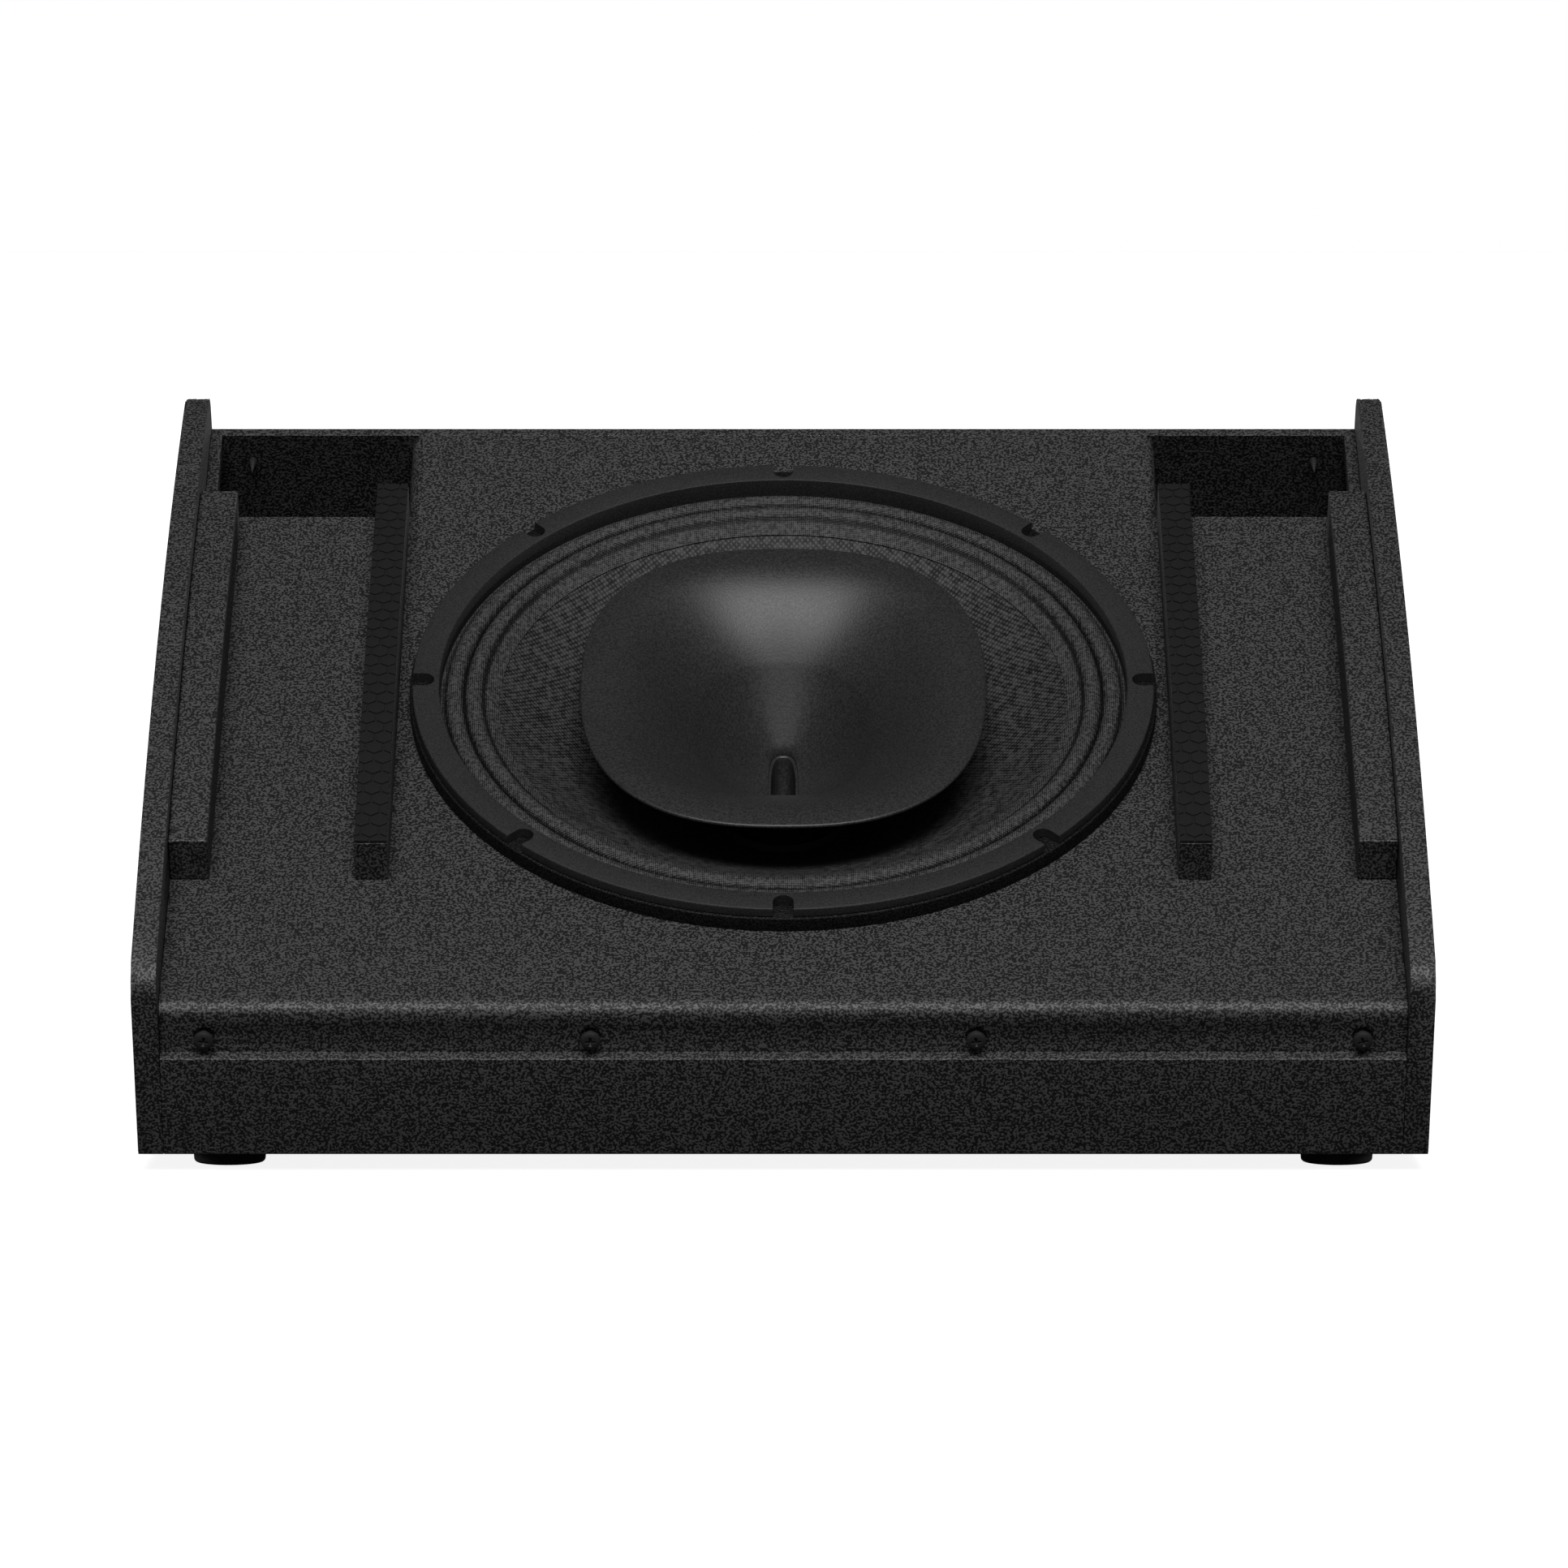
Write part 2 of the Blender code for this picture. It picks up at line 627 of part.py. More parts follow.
def make_basket(material):
    """Cast frame: notched flange, surround ledge, eight windows between the spokes."""
    basket = turned_object("driver_basket", basket_profile(), BAFFLE, material, SEGMENTS)
    windows = bmesh.new()
    notches = bmesh.new()
    for i in range(NOTCH_COUNT):
        spin = Matrix.Rotation(2 * math.pi * (i + 0.5) / NOTCH_COUNT, 4, 'Z')
        outline = [(106.0, -24.0), (168.0, -47.0), (168.0, 47.0), (106.0, 24.0)]
        rows = add_prism(windows, outline, -100.0, -12.0, along_z)
        bmesh.ops.transform(windows, matrix=spin, verts=[v for row in rows for v in row])
        spin = Matrix.Rotation(2 * math.pi * i / NOTCH_COUNT, 4, 'Z')
        half = NOTCH_WIDTH / 2
        centre = NOTCH_INNER + half
        outline = [(FLANGE_OUTER + 8, -half), (FLANGE_OUTER + 8, half)]
        for k in range(7):
            angle = math.radians(90.0 + 180.0 * k / 6)
            outline.append((centre + half * math.cos(angle), half * math.sin(angle)))
        rows = add_prism(notches, outline, FLANGE_TOP - FLANGE_THICKNESS - 4, FLANGE_TOP + 4,
                         along_z)
        bmesh.ops.transform(notches, matrix=spin, verts=[v for row in rows for v in row])
    cut(basket, as_cutter(finish("basket_windows", windows, BAFFLE, None)))
    cut(basket, as_cutter(finish("flange_notches", notches, BAFFLE, None)))
    return basket


def surround_line():
    """Upper line of the surround: outer flat, two rolls, then the ring glued to the cone."""
    points = [(181.7, 4.6)]
    for outer, inner in ((178.6, 168.6), (168.6, 158.6)):
        points.append((outer, 4.6))
        points.append((outer - 3.0, 8.2))
        points.append((inner + 3.0, 8.2))
    points.append((158.2, 6.0))
    points.append((150.8, 1.8))
    return points


def cone_line():
    steps = 2
    points = []
    for i in range(steps + 1):
        t = i / steps
        r = CONE_EDGE_RADIUS + (CONE_NECK_RADIUS - CONE_EDGE_RADIUS) * t
        n = CONE_EDGE_N + (CONE_NECK_N - CONE_EDGE_N) * t
        points.append((r, n))
    return points


def spider_line():
    """Upper line of the spider: a flat rim, then even corrugations, then a collar."""
    points = [(96.0, -79.9), (88.0, -79.9)]
    crests = 6
    inner = 44.0
    for k in range(1, crests):
        r = 88.0 + (inner - 88.0) * k / crests
        points.append((r, -79.9 + (1.8 if k % 2 else -1.8)))
    points.append((40.9, -79.9))
    return points


def make_driver_soft_parts(cloth, paper, copper, former_material):
    turned_object("surround", shell_profile(surround_line(), 0.9), BAFFLE, cloth, SEGMENTS)
    turned_object("cone", shell_profile(cone_line(), 0.9), BAFFLE, paper, SEGMENTS)
    turned_object("spider", shell_profile(spider_line(), 0.8), BAFFLE, cloth, 32)
    former = [(38.4, CONE_NECK_N + 4), (38.9, CONE_NECK_N + 4), (38.9, -109.0), (38.4, -109.0)]
    turned_object("voice_coil_former", former, BAFFLE, former_material, 32)
    coil = [(39.2, -93.5), (40.3, -93.5), (40.3, -107.5), (39.2, -107.5)]
    turned_object("voice_coil", coil, BAFFLE, copper, 32)


def make_motor(steel, magnet):
    top = PLATE_TOP_N
    plate = [(41.4, top), (76.0, top), (76.0, top - 10.0), (41.4, top - 10.0)]
    turned_object("top_plate", plate, BAFFLE, steel, 32)
    high = top - 10.0 - GAP
    low = high - 18.0
    turned_object("magnet_ring", [(50.0, high), (74.0, high), (74.0, low), (50.0, low)], BAFFLE,
                  magnet, 32)
    high = low - GAP
    low = high - 12.0
    pole = [(THROAT_EXIT_RADIUS, top), (POLE_RADIUS, top), (POLE_RADIUS, high), (76.0, high),
            (76.0, low), (THROAT_EXIT_RADIUS, low)]
    turned_object("pole_piece", pole, BAFFLE, steel, 32)
    return low


def make_compression_driver(top, body_material, dome_material):
    """High-frequency driver behind the pole piece, firing through its bore."""
    top = top - GAP
    floor = top - 14.0
    rear = top - 24.0
    body = [(THROAT_EXIT_RADIUS, top), (42.0, top), (42.0, rear), (31.0, rear), (31.0, floor),
            (THROAT_EXIT_RADIUS + 8.0, floor)]
    turned_object("hf_driver_body", body, BAFFLE, body_material, 32)
    dome_edge = floor - 2.2
    line = [(30.0, dome_edge), (26.0, dome_edge)]
    for k in range(1, 4):
        angle = math.radians(75.0 * k / 3)
        line.append((26.0 * math.cos(angle), dome_edge - 6.5 * math.sin(angle)))
    mesh_builder = bmesh.new()
    levels = list(reversed(line)) + [(r, h - 0.6) for r, h in line]
    add_stack(mesh_builder, levels, 20)
    finish("hf_diaphragm", mesh_builder, BAFFLE, dome_material, smooth=True)
    high = rear - GAP
    cover = [(36.0, high), (42.0, high), (42.0, high - 14.0), (38.0, high - 18.0)]
    mesh_builder = bmesh.new()
    levels = [(30.0, high - 12.0), (36.0, high - 8.0)] + cover
    add_stack(mesh_builder, levels, 24)
    finish("hf_rear_cover", mesh_builder, BAFFLE, body_material, smooth=True)
    return high - 18.0


# ---------------------------------------------------------------- horn

def superellipse(half_width, half_height, power, count):
    points = []
    for i in range(count):
        angle = 2 * math.pi * i / count
        c, s = math.cos(angle), math.sin(angle)
        x = half_width * math.copysign(abs(c) ** (2 / power), c)
        y = half_height * math.copysign(abs(s) ** (2 / power), s)
        points.append((x, y))
    return points


def horn_sections(wall_steps, roll_steps):
    """Half width, half height, power and height of the flare, from the throat to the rim."""
    sections = []
    for k in range(wall_steps):
        t = k / wall_steps
        sections.append((THROAT_HALF_WIDTH + (SHOULDER_HALF_WIDTH - THROAT_HALF_WIDTH) * t,
                         THROAT_HALF_HEIGHT + (SHOULDER_HALF_HEIGHT - THROAT_HALF_HEIGHT) * t,
                         3.2 - 0.4 * t, THROAT_N + (SHOULDER_N - THROAT_N) * t))
    roll_width = HORN_HALF_WIDTH - HORN_SHELF
    roll_height = HORN_HALF_HEIGHT - HORN_SHELF
    for k in range(roll_steps + 1):
        v = 1.0 - k / roll_steps
        sections.append((roll_width - (roll_width - SHOULDER_HALF_WIDTH) * v,
                         roll_height - (roll_height - SHOULDER_HALF_HEIGHT) * v,
                         2.5 + 0.3 * v, HORN_RIM_N - (HORN_RIM_N - SHOULDER_N) * v ** ROLL_POWER))
    sections.append((HORN_HALF_WIDTH, HORN_HALF_HEIGHT, 2.5, HORN_RIM_N))
    return sections


def make_horn(material, count=40):
    """Thin flared horn on a stem; its bore runs from a slot to a round exit."""
    inner_n = PLATE_TOP_N + GAP
    rings = [(THROAT_EXIT_RADIUS, THROAT_EXIT_RADIUS, 2.0, inner_n),
             (9.0, 19.0, 2.4, (inner_n + THROAT_N) / 2)]
    flare = horn_sections(2, 4)
    rings += flare
    rim_w, rim_h, power, rim_n = flare[-1]
    rings.append((rim_w, rim_h, power, rim_n - 2.2))
    for width, height, power, n in reversed(flare[1:-1]):
        rings.append((width + HORN_WALL * 0.6, height + HORN_WALL * 0.6, power, n - HORN_WALL))
    stem = 23.0
    rings.append((stem, THROAT_HALF_HEIGHT + 4.0, 2.0, THROAT_N - 4.0))
    rings.append((stem, stem, 2.0, inner_n))
    mesh_builder = bmesh.new()
    loops = [[(x, y, n) for x, y in superellipse(w, h, power, count)] for w, h, power, n in rings]
    add_loft(mesh_builder, loops, closed=True)
    return finish("horn", mesh_builder, BAFFLE, material, smooth=True)


# ---------------------------------------------------------------- rear fittings

def make_connector_plate(material):
    width, height, thickness = CONNECTOR_PLATE
    low = REAR_FACE_Y + GAP
    outline = rounded_rectangle(width / 2, height / 2, 6, 4, (0.0, CONNECTOR_Z))
    plate = prism_object("connector_plate", outline, low, low + thickness, along_y, WORLD, material)
    holes = bmesh.new()
    for sign in (-1, 1):
        centre = (sign * CONNECTOR_SPACING / 2, CONNECTOR_Z)
        add_prism(holes, circle(12.5, 24, centre), low - 5, low + 10, along_y)
    for x, z in plate_screw_places():
        add_prism(holes, circle(2.0, 8, (x, z)), low - 5, low + 10, along_y)
    cut(plate, as_cutter(finish("connector_plate_holes", holes, WORLD, None)))
    return plate


def plate_screw_places():
    width, height, _ = CONNECTOR_PLATE
    return [(sx * (width / 2 - 6), CONNECTOR_Z + sz * (height / 2 - 6))
            for sx in (-1, 1) for sz in (-1, 1)]


def rearward_matrix(x, y, z):
    """Frame on the rear face: local Z points back, out of the cabinet."""
    return frame_matrix(Vector((x, y, z)), Vector((-1, 0, 0)), Vector((0, 0, 1)),
                        Vector((0, 1, 0)))


def make_connector(name, x, material):
    """Four-pole locking loudspeaker socket: square flange, round well, centre core."""
    face = REAR_FACE_Y + GAP + CONNECTOR_PLATE[2] + GAP
    matrix = rearward_matrix(x, face, CONNECTOR_Z)
    mesh_builder = bmesh.new()
    profile_segments = 24
    body = circle(12.0, profile_segments)
    levels = [[(a, b, h) for a, b in body] for h in (-24.0, 1.0)]
    add_loft(mesh_builder, levels)
    socket = finish(name, mesh_builder, matrix, material, smooth=True)
    flange = bmesh.new()
    add_prism(flange, rounded_rectangle(13.0, 15.5, 3, 3), 0.0, 2.6, along_z)
    flange_tool = as_cutter(finish(name + "_flange", flange, matrix, None))
    union = socket.modifiers.new("flange", 'BOOLEAN')
    union.operation = 'UNION'
    union.object = flange_tool
    union.solver = 'EXACT'
    well = bmesh.new()
    add_turned(well, [(4.4, -16.0), (10.8, -16.0), (10.8, 6.0), (4.4, 6.0)], profile_segments)
    cut(socket, as_cutter(finish(name + "_well", well, matrix, None)))
    return socket


def make_handle(material, grip_material):
    """Recessed carrying handle: an open cup with a fixed bar across its upper half."""
    width, height, depth = HANDLE_CUP
    face = REAR_FACE_Y + GAP
    matrix = rearward_matrix(0.0, face, HANDLE_Z)
    wall = 2.5
    lip = HANDLE_FLANGE
    sections = [
        (width / 2 - wall, height / 2 - wall, 10.0, 3.0),
        (width / 2 + lip, height / 2 + lip, 16.0, 3.0),
        (width / 2 + lip, height / 2 + lip, 16.0, 0.0),
        (width / 2, height / 2, 12.0, 0.0),
        (width / 2 - 3.0, height / 2 - 3.0, 10.0, -depth),
    ]
    inner = (width / 2 - wall - 3.0, height / 2 - wall - 3.0, 8.0, wall - depth)
    mesh_builder = bmesh.new()
    levels = [inner] + sections
    rings = [[(a, b, h) for a, b in rounded_rectangle(half_a, half_b, radius, 3)]
             for half_a, half_b, radius, h in levels]
    add_loft(mesh_builder, rings)
    finish("handle_cup", mesh_builder, matrix, material, smooth=True)
    bar = bmesh.new()
    half = width / 2 - wall - 1.6
    outline = circle(9.0, 20, (12.0, -13.0))
    add_prism(bar, [(a, b) for a, b in outline], -half, half, along_x)
    finish("handle_grip", bar, matrix, grip_material, smooth=True)


# ---------------------------------------------------------------- inside

def make_ring(name, centre, outer, inner, height, material):
    profile = [(inner, 0.0), (outer, 0.0), (outer, height), (inner, height)]
    matrix = Matrix.Translation(Vector(centre) * MM)
    turned_object(name, profile, matrix, material, 24)


def make_crossover(board_material, copper, film):
    floor = FLOOR_Z + GAP
    board_top = floor + 3.0
    prism_object("crossover_board", rounded_rectangle(90, 50, 4, 2, (0.0, 125.0)), floor,
                 board_top, along_z, WORLD, board_material)
    make_ring("lf_choke", (-50.0, 125.0, board_top + GAP), 30.0, 13.0, 24.0, copper)
    make_ring("hf_choke", (15.0, 108.0, board_top + GAP), 17.0, 7.0, 16.0, copper)
    mesh_builder = bmesh.new()
    radius = 12.0
    outline = circle(radius, 24, (140.0, board_top + GAP + radius))
    add_prism(mesh_builder, outline, 32.0, 82.0, along_x)
    finish("filter_capacitor", mesh_builder, WORLD, film, smooth=True)


def smooth_route(points, steps=3):
    """Points on a Catmull-Rom curve through a route."""
    route = [Vector(p) for p in points]
    padded = [route[0] * 2 - route[1]] + route + [route[-1] * 2 - route[-2]]
    result = []
    for a, b, c, d in zip(padded, padded[1:], padded[2:], padded[3:]):
        for k in range(steps):
            t = k / steps
            result.append(0.5 * (2 * b + (c - a) * t + (2 * a - 5 * b + 4 * c - d) * t ** 2
                                 + (3 * b - 3 * c + d - a) * t ** 3))
    result.append(route[-1])
    return result


def make_cable(name, points, diameter, material):
    curve = bpy.data.curves.new(name, 'CURVE')
    curve.dimensions = '3D'
    curve.bevel_depth = diameter / 2 * MM
    curve.bevel_resolution = 2
    curve.use_fill_caps = True
    route = smooth_route(points)
    spline = curve.splines.new('POLY')
    spline.points.add(len(route) - 1)
    for target, point in zip(spline.points, route):
        target.co = (*(point * MM), 1.0)
    curve.materials.append(material)
    obj = bpy.data.objects.new(name, curve)
    bpy.context.scene.collection.objects.link(obj)
    return obj


def driver_point(x, s, n):
    point = BAFFLE_ORIGIN + SLOPE * s + NORMAL * n
    return (x, point.y, point.z)


def make_cables(sheath, cover_end):
    """Leads from the sockets to the crossover, and from there to both drivers."""
    board = FLOOR_Z + GAP + 3.0 + 4.0
    socket_end = REAR_FACE_Y + CONNECTOR_PLATE[2] - 24.0 - 1.0
    socket_x = -CONNECTOR_SPACING / 2
    make_cable("input_cable", [
        (socket_x, socket_end, CONNECTOR_Z),
        (socket_x, socket_end - 12, CONNECTOR_Z),
        (-20.0, 193.0, 70.0), (-6.0, 181.0, 44.0), (4.0, 168.0, board)], 6.0, sheath)
    make_cable("hf_cable", [
        driver_point(0.0, 0.0, cover_end - 1.2),
        driver_point(0.0, 0.0, cover_end - 14.0),
        (38.0, 92.0, 50.0), (58.0, 96.0, 36.0), (66.0, 98.0, board)], 4.0, sheath)
    make_cable("lf_cable", [
        driver_point(-112.0, 0.0, -83.0),
        driver_point(-112.0, 0.0, -100.0),
        (-116.0, 58.0, 90.0), (-104.0, 76.0, 48.0), (-84.0, 84.0, board)], 5.0, sheath)


def make_foam(material):
    floor = FLOOR_Z + GAP
    prism_object("acoustic_foam", rectangle(-210.0, 210.0, -120.0, 40.0), floor, floor + 20.0,
                 along_z, WORLD, material)


# ---------------------------------------------------------------- assembly

def build():
    clear_scene()
    paint = make_material("textured_black_paint", (0.035, 0.035, 0.037), 0.75)
    rubber = make_material("black_rubber", (0.02, 0.02, 0.02), 0.8)
    foam_pad = make_material("grey_foam_pad", (0.06, 0.06, 0.065), 0.7)
    screw_black = make_material("blackened_steel", (0.05, 0.05, 0.05), 0.45, 0.8)
    cast = make_material("driver_frame_paint", (0.03, 0.03, 0.033), 0.45, 0.1)
    cloth = make_material("treated_cloth", (0.06, 0.06, 0.06), 0.85)
    paper = make_material("cone_paper", (0.05, 0.05, 0.05), 0.85)
    plastic = make_material("horn_plastic", (0.035, 0.035, 0.037), 0.4)
    steel = make_material("zinc_plated_steel", (0.5, 0.5, 0.48), 0.4, 1.0)
    magnet = make_material("nickel_plated_magnet", (0.6, 0.6, 0.58), 0.3, 1.0)
    copper = make_material("enamelled_copper", (0.6, 0.25, 0.1), 0.35, 1.0)
    former = make_material("glass_fibre_former", (0.7, 0.65, 0.5), 0.6)
    titanium = make_material("dome_foil", (0.5, 0.5, 0.52), 0.35, 1.0)
    plate_paint = make_material("connector_plate_paint", (0.03, 0.03, 0.03), 0.5, 0.2)
    board = make_material("circuit_board", (0.03, 0.12, 0.05), 0.5)
    film = make_material("capacitor_film", (0.5, 0.4, 0.1), 0.4)
    sheath = make_material("cable_sheath", (0.02, 0.02, 0.02), 0.6)
    wool = make_material("lining_foam", (0.1, 0.1, 0.11), 0.95)

    make_side_panel("side_panel_left", -1, paint)
    make_side_panel("side_panel_right", 1, paint)
    make_front_panel(paint)
    make_bottom_panel(paint)
    make_rear_panel(paint)
    make_rear_upper_panel(paint)
    make_baffle(paint)
    make_port_plates(paint)
    make_battens(paint, foam_pad)
    make_feet(rubber)
    for i, x in enumerate(SCREW_X):
        make_pan_screw("grille_screw_front_%d" % (i + 1), front_screw_matrix(x), screw_black)
        make_pan_screw("grille_screw_rear_%d" % (i + 1), rear_screw_matrix(x), screw_black)

    make_spacer_ring(paint)
    make_basket(cast)
    make_driver_soft_parts(cloth, paper, copper, former)
    motor_end = make_motor(steel, magnet)
    cover_end = make_compression_driver(motor_end, cast, titanium)
    make_horn(plastic)

    make_connector_plate(plate_paint)
    make_connector("connector_input", -CONNECTOR_SPACING / 2, plastic)
    make_connector("connector_link", CONNECTOR_SPACING / 2, plastic)
    plate_face = REAR_FACE_Y + GAP + CONNECTOR_PLATE[2]
    for i, (x, z) in enumerate(plate_screw_places()):
        make_pan_screw("connector_plate_screw_%d" % (i + 1), rearward_matrix(x, plate_face, z),
                       screw_black, length=9.0, point=3.0, stand_off=GAP, scale=0.6)
    make_handle(plate_paint, rubber)

    make_crossover(board, copper, film)
    make_foam(wool)
    make_cables(sheath, cover_end)


build()
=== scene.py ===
"""Looks of a stage monitor wedge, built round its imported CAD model.

Lengths in the constants are millimetres. Driver pieces are drawn in the baffle's own
frame: X across, S up the slope, N out of the baffle's face, from the driver's axis.
"""
import json
import math

import bmesh
import bpy
import numpy as np
from mathutils import Matrix, Vector


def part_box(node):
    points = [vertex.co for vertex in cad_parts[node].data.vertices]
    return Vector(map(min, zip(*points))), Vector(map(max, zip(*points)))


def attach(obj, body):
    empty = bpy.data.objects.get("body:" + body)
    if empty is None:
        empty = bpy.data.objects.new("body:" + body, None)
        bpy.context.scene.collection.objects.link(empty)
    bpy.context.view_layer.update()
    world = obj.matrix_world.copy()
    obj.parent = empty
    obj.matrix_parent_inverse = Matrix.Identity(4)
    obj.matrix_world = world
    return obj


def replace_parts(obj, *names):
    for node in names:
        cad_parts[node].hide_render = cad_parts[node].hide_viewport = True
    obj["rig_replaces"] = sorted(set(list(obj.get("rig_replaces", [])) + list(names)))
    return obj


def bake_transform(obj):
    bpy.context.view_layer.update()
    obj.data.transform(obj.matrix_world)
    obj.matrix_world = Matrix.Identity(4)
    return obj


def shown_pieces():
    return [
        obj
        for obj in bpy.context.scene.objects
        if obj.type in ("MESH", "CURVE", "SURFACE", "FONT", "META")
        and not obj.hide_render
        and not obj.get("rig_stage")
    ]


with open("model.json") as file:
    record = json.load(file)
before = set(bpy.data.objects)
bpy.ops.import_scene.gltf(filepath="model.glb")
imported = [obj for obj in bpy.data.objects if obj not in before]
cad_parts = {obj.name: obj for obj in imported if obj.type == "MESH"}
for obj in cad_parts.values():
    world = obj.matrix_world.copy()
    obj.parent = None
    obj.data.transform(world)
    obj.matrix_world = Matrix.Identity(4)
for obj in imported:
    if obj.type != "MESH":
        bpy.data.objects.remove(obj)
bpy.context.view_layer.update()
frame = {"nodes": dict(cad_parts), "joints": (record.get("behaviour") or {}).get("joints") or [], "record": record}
NODES = frame["nodes"]
JOINTS = {joint["name"]: joint for joint in frame["joints"]}

MM = 0.001
CABINET = "cabinet"
CONE_BODY = "cone_assembly"

# Driver, radii and heights above the baffle's face
FLANGE_INNER = 182.3
FLANGE_THICKNESS = 5.2
NOTCH_COUNT = 8
NOTCH_WIDTH = 10.7
NOTCH_INNER = 184.9
SURROUND_OUTER = 181.7
SURROUND_LAND = 3.0
ROLLS = ((179.6, 169.2, 4.4), (169.2, 158.8, 4.4))    # outer radius, inner radius, rise
ROLL_ROUNDNESS = 0.6                # power of the sine; less is nearer to a half circle
GLUE_RING = ((158.6, 3.6), (150.6, -0.6))
CONE_EDGE = (157.0, 2.4)
CONE_NECK = (39.3, -72.0)
CLOTH_THICKNESS = 0.7
DRIVER_SEGMENTS = 192

# Horn
HORN_WALL = 2.6
LIP_RADIUS = 1.2
HORN_SHELF = 11.0
SHOULDER_HALF = (47.0, 59.8)
SHOULDER_N = -20.8
ROLL_POWER = 1.8
THROAT_HALF = (6.5, 28.5)
THROAT_N = -59.5
THROAT_RIM = 1.5
THROAT_EXIT_RADIUS = 12.7
RIM_POWER = 2.5                     # of the superellipse; 2 is an ellipse
STEM_RADIUS = 23.0

# Grille pads
HEX_ACROSS = 9.4
HEX_GROOVE = 1.0
HEX_DEPTH = 0.8

# Fasteners, feet and rear fittings
SCREW_HEAD_RADIUS = 5.0
SCREW_HEAD_HEIGHT = 3.2
SCREW_SHANK = 2.5
SCREW_PITCH = 1.6
FOOT_SEGMENTS = 64
SOCKET_WELL = 10.8
SOCKET_CORE = 4.4
SOCKET_DEPTH = 16.0
GRIP_RIBS = 26

# Studio, in metres and degrees; each light has a strength, an angular width and a place
LIGHTS = (("soft_top", 4.5, 36.0, (0.0, -4.2, 4.2)),
          ("low_front", 0.45, 40.0, (0.0, -4.0, 1.3)),
          ("rear", 2.2, 12.0, (0.0, 4.0, 0.9)),
          ("side_left", 1.6, 8.0, (-4.0, 0.9, 0.9)),
          ("side_right", 1.6, 8.0, (4.0, 0.9, 0.9)))
LIGHT_TARGET = (0.0, 0.0, 0.2)
SKY_SEEN = 1.0
SKY_FILL = 0.06
FLOOR_HALF = 30.0
FLOOR_GLOW = 0.88
CAMERA_PLACE = (0.0, -4.5457, 0.5369)
CAMERA_PITCH = 85.55
CAMERA_LENS = 196.1
CAMERA_SENSOR = 36.0
CAMERA_SHIFT = 0.0005


# ---------------------------------------------------------------- the CAD frame

def extent(node, axis, origin=Vector()):
    """Lowest and highest place of a CAD node along an axis through origin, in metres."""
    places = [(vertex.co - origin).dot(axis) for vertex in NODES[node].data.vertices]
    return min(places), max(places)


def box_centre(node):
    low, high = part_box(node)
    return (low + high) / 2


def axes_matrix(origin, x_axis, y_axis, z_axis):
    rotation = Matrix((x_axis, y_axis, z_axis)).transposed().to_4x4()
    return Matrix.Translation(origin) @ rotation


ACROSS = Vector((1.0, 0.0, 0.0))
NORMAL = Vector(JOINTS["cone_travel"]["axis"]).normalized()
SLOPE = NORMAL.cross(ACROSS)
RING_CENTRE = box_centre("driver_spacer_ring")
BAFFLE_TOP = extent("baffle", NORMAL)[1]
ORIGIN = RING_CENTRE + NORMAL * (BAFFLE_TOP - RING_CENTRE.dot(NORMAL))
DRIVER = axes_matrix(ORIGIN, ACROSS, SLOPE, NORMAL)
WORLD = Matrix.Identity(4)


def driver_span(node):
    """Heights of a node above the baffle's face, in millimetres."""
    low, high = extent(node, NORMAL, ORIGIN)
    return low / MM, high / MM


# ---------------------------------------------------------------- materials

class Shader:
    """A Principled material and short ways to add nodes to it."""

    def __init__(self, name, roughness, metallic=0.0, specular=0.5):
        self.material = bpy.data.materials.new(name)
        self.material.use_nodes = True
        self.tree = self.material.node_tree
        self.surface = self.tree.nodes["Principled BSDF"]
        self.surface.inputs["Roughness"].default_value = roughness
        self.surface.inputs["Metallic"].default_value = metallic
        self.surface.inputs["Specular IOR Level"].default_value = specular
        self.place = self.add("ShaderNodeTexCoord").outputs["Object"]

    def add(self, kind, inputs=None, **settings):
        made = self.tree.nodes.new(kind)
        for key, value in settings.items():
            setattr(made, key, value)
        for key, value in (inputs or {}).items():
            self.set(made.inputs[key], value)
        return made

    def set(self, socket, value):
        if isinstance(value, bpy.types.NodeSocket):
            self.tree.links.new(value, socket)
        else:
            socket.default_value = value

    def math(self, operation, first, second=0.0, clamp=False):
        return self.add("ShaderNodeMath", {0: first, 1: second}, operation=operation,
                        use_clamp=clamp).outputs[0]

    def noise(self, scale, detail=2.0, rough=0.5, place=None):
        inputs = {"Vector": place or self.place, "Scale": scale, "Detail": detail,
                  "Roughness": rough}
        return self.add("ShaderNodeTexNoise", inputs).outputs["Fac"]

    def lumps(self, scale, smoothness=0.7, place=None):
        inputs = {"Vector": place or self.place, "Scale": scale, "Smoothness": smoothness}
        return self.add("ShaderNodeTexVoronoi", inputs, feature='SMOOTH_F1').outputs["Distance"]

    def span(self, value, low, high, source=(0.0, 1.0)):
        inputs = {"Value": value, "From Min": source[0], "From Max": source[1],
                  "To Min": low, "To Max": high}
        return self.add("ShaderNodeMapRange", inputs).outputs[0]

    def colour(self, factor, dark, light, source=(0.3, 0.7)):
        ramp = self.add("ShaderNodeValToRGB", {"Fac": factor})
        ramp.color_ramp.elements[0].position = source[0]
        ramp.color_ramp.elements[1].position = source[1]
        ramp.color_ramp.elements[0].color = (*dark, 1.0)
        ramp.color_ramp.elements[1].color = (*light, 1.0)
        self.set(self.surface.inputs["Base Color"], ramp.outputs["Color"])

    def roughness(self, factor, low, high, source=(0.3, 0.7)):
        self.set(self.surface.inputs["Roughness"], self.span(factor, low, high, source))

    def bump(self, height, distance, strength=1.0):
        made = self.add("ShaderNodeBump", {"Height": height, "Distance": distance,
                                           "Strength": strength})
        self.set(self.surface.inputs["Normal"], made.outputs["Normal"])


def grey(value):
    return (value, value, value * 1.03)


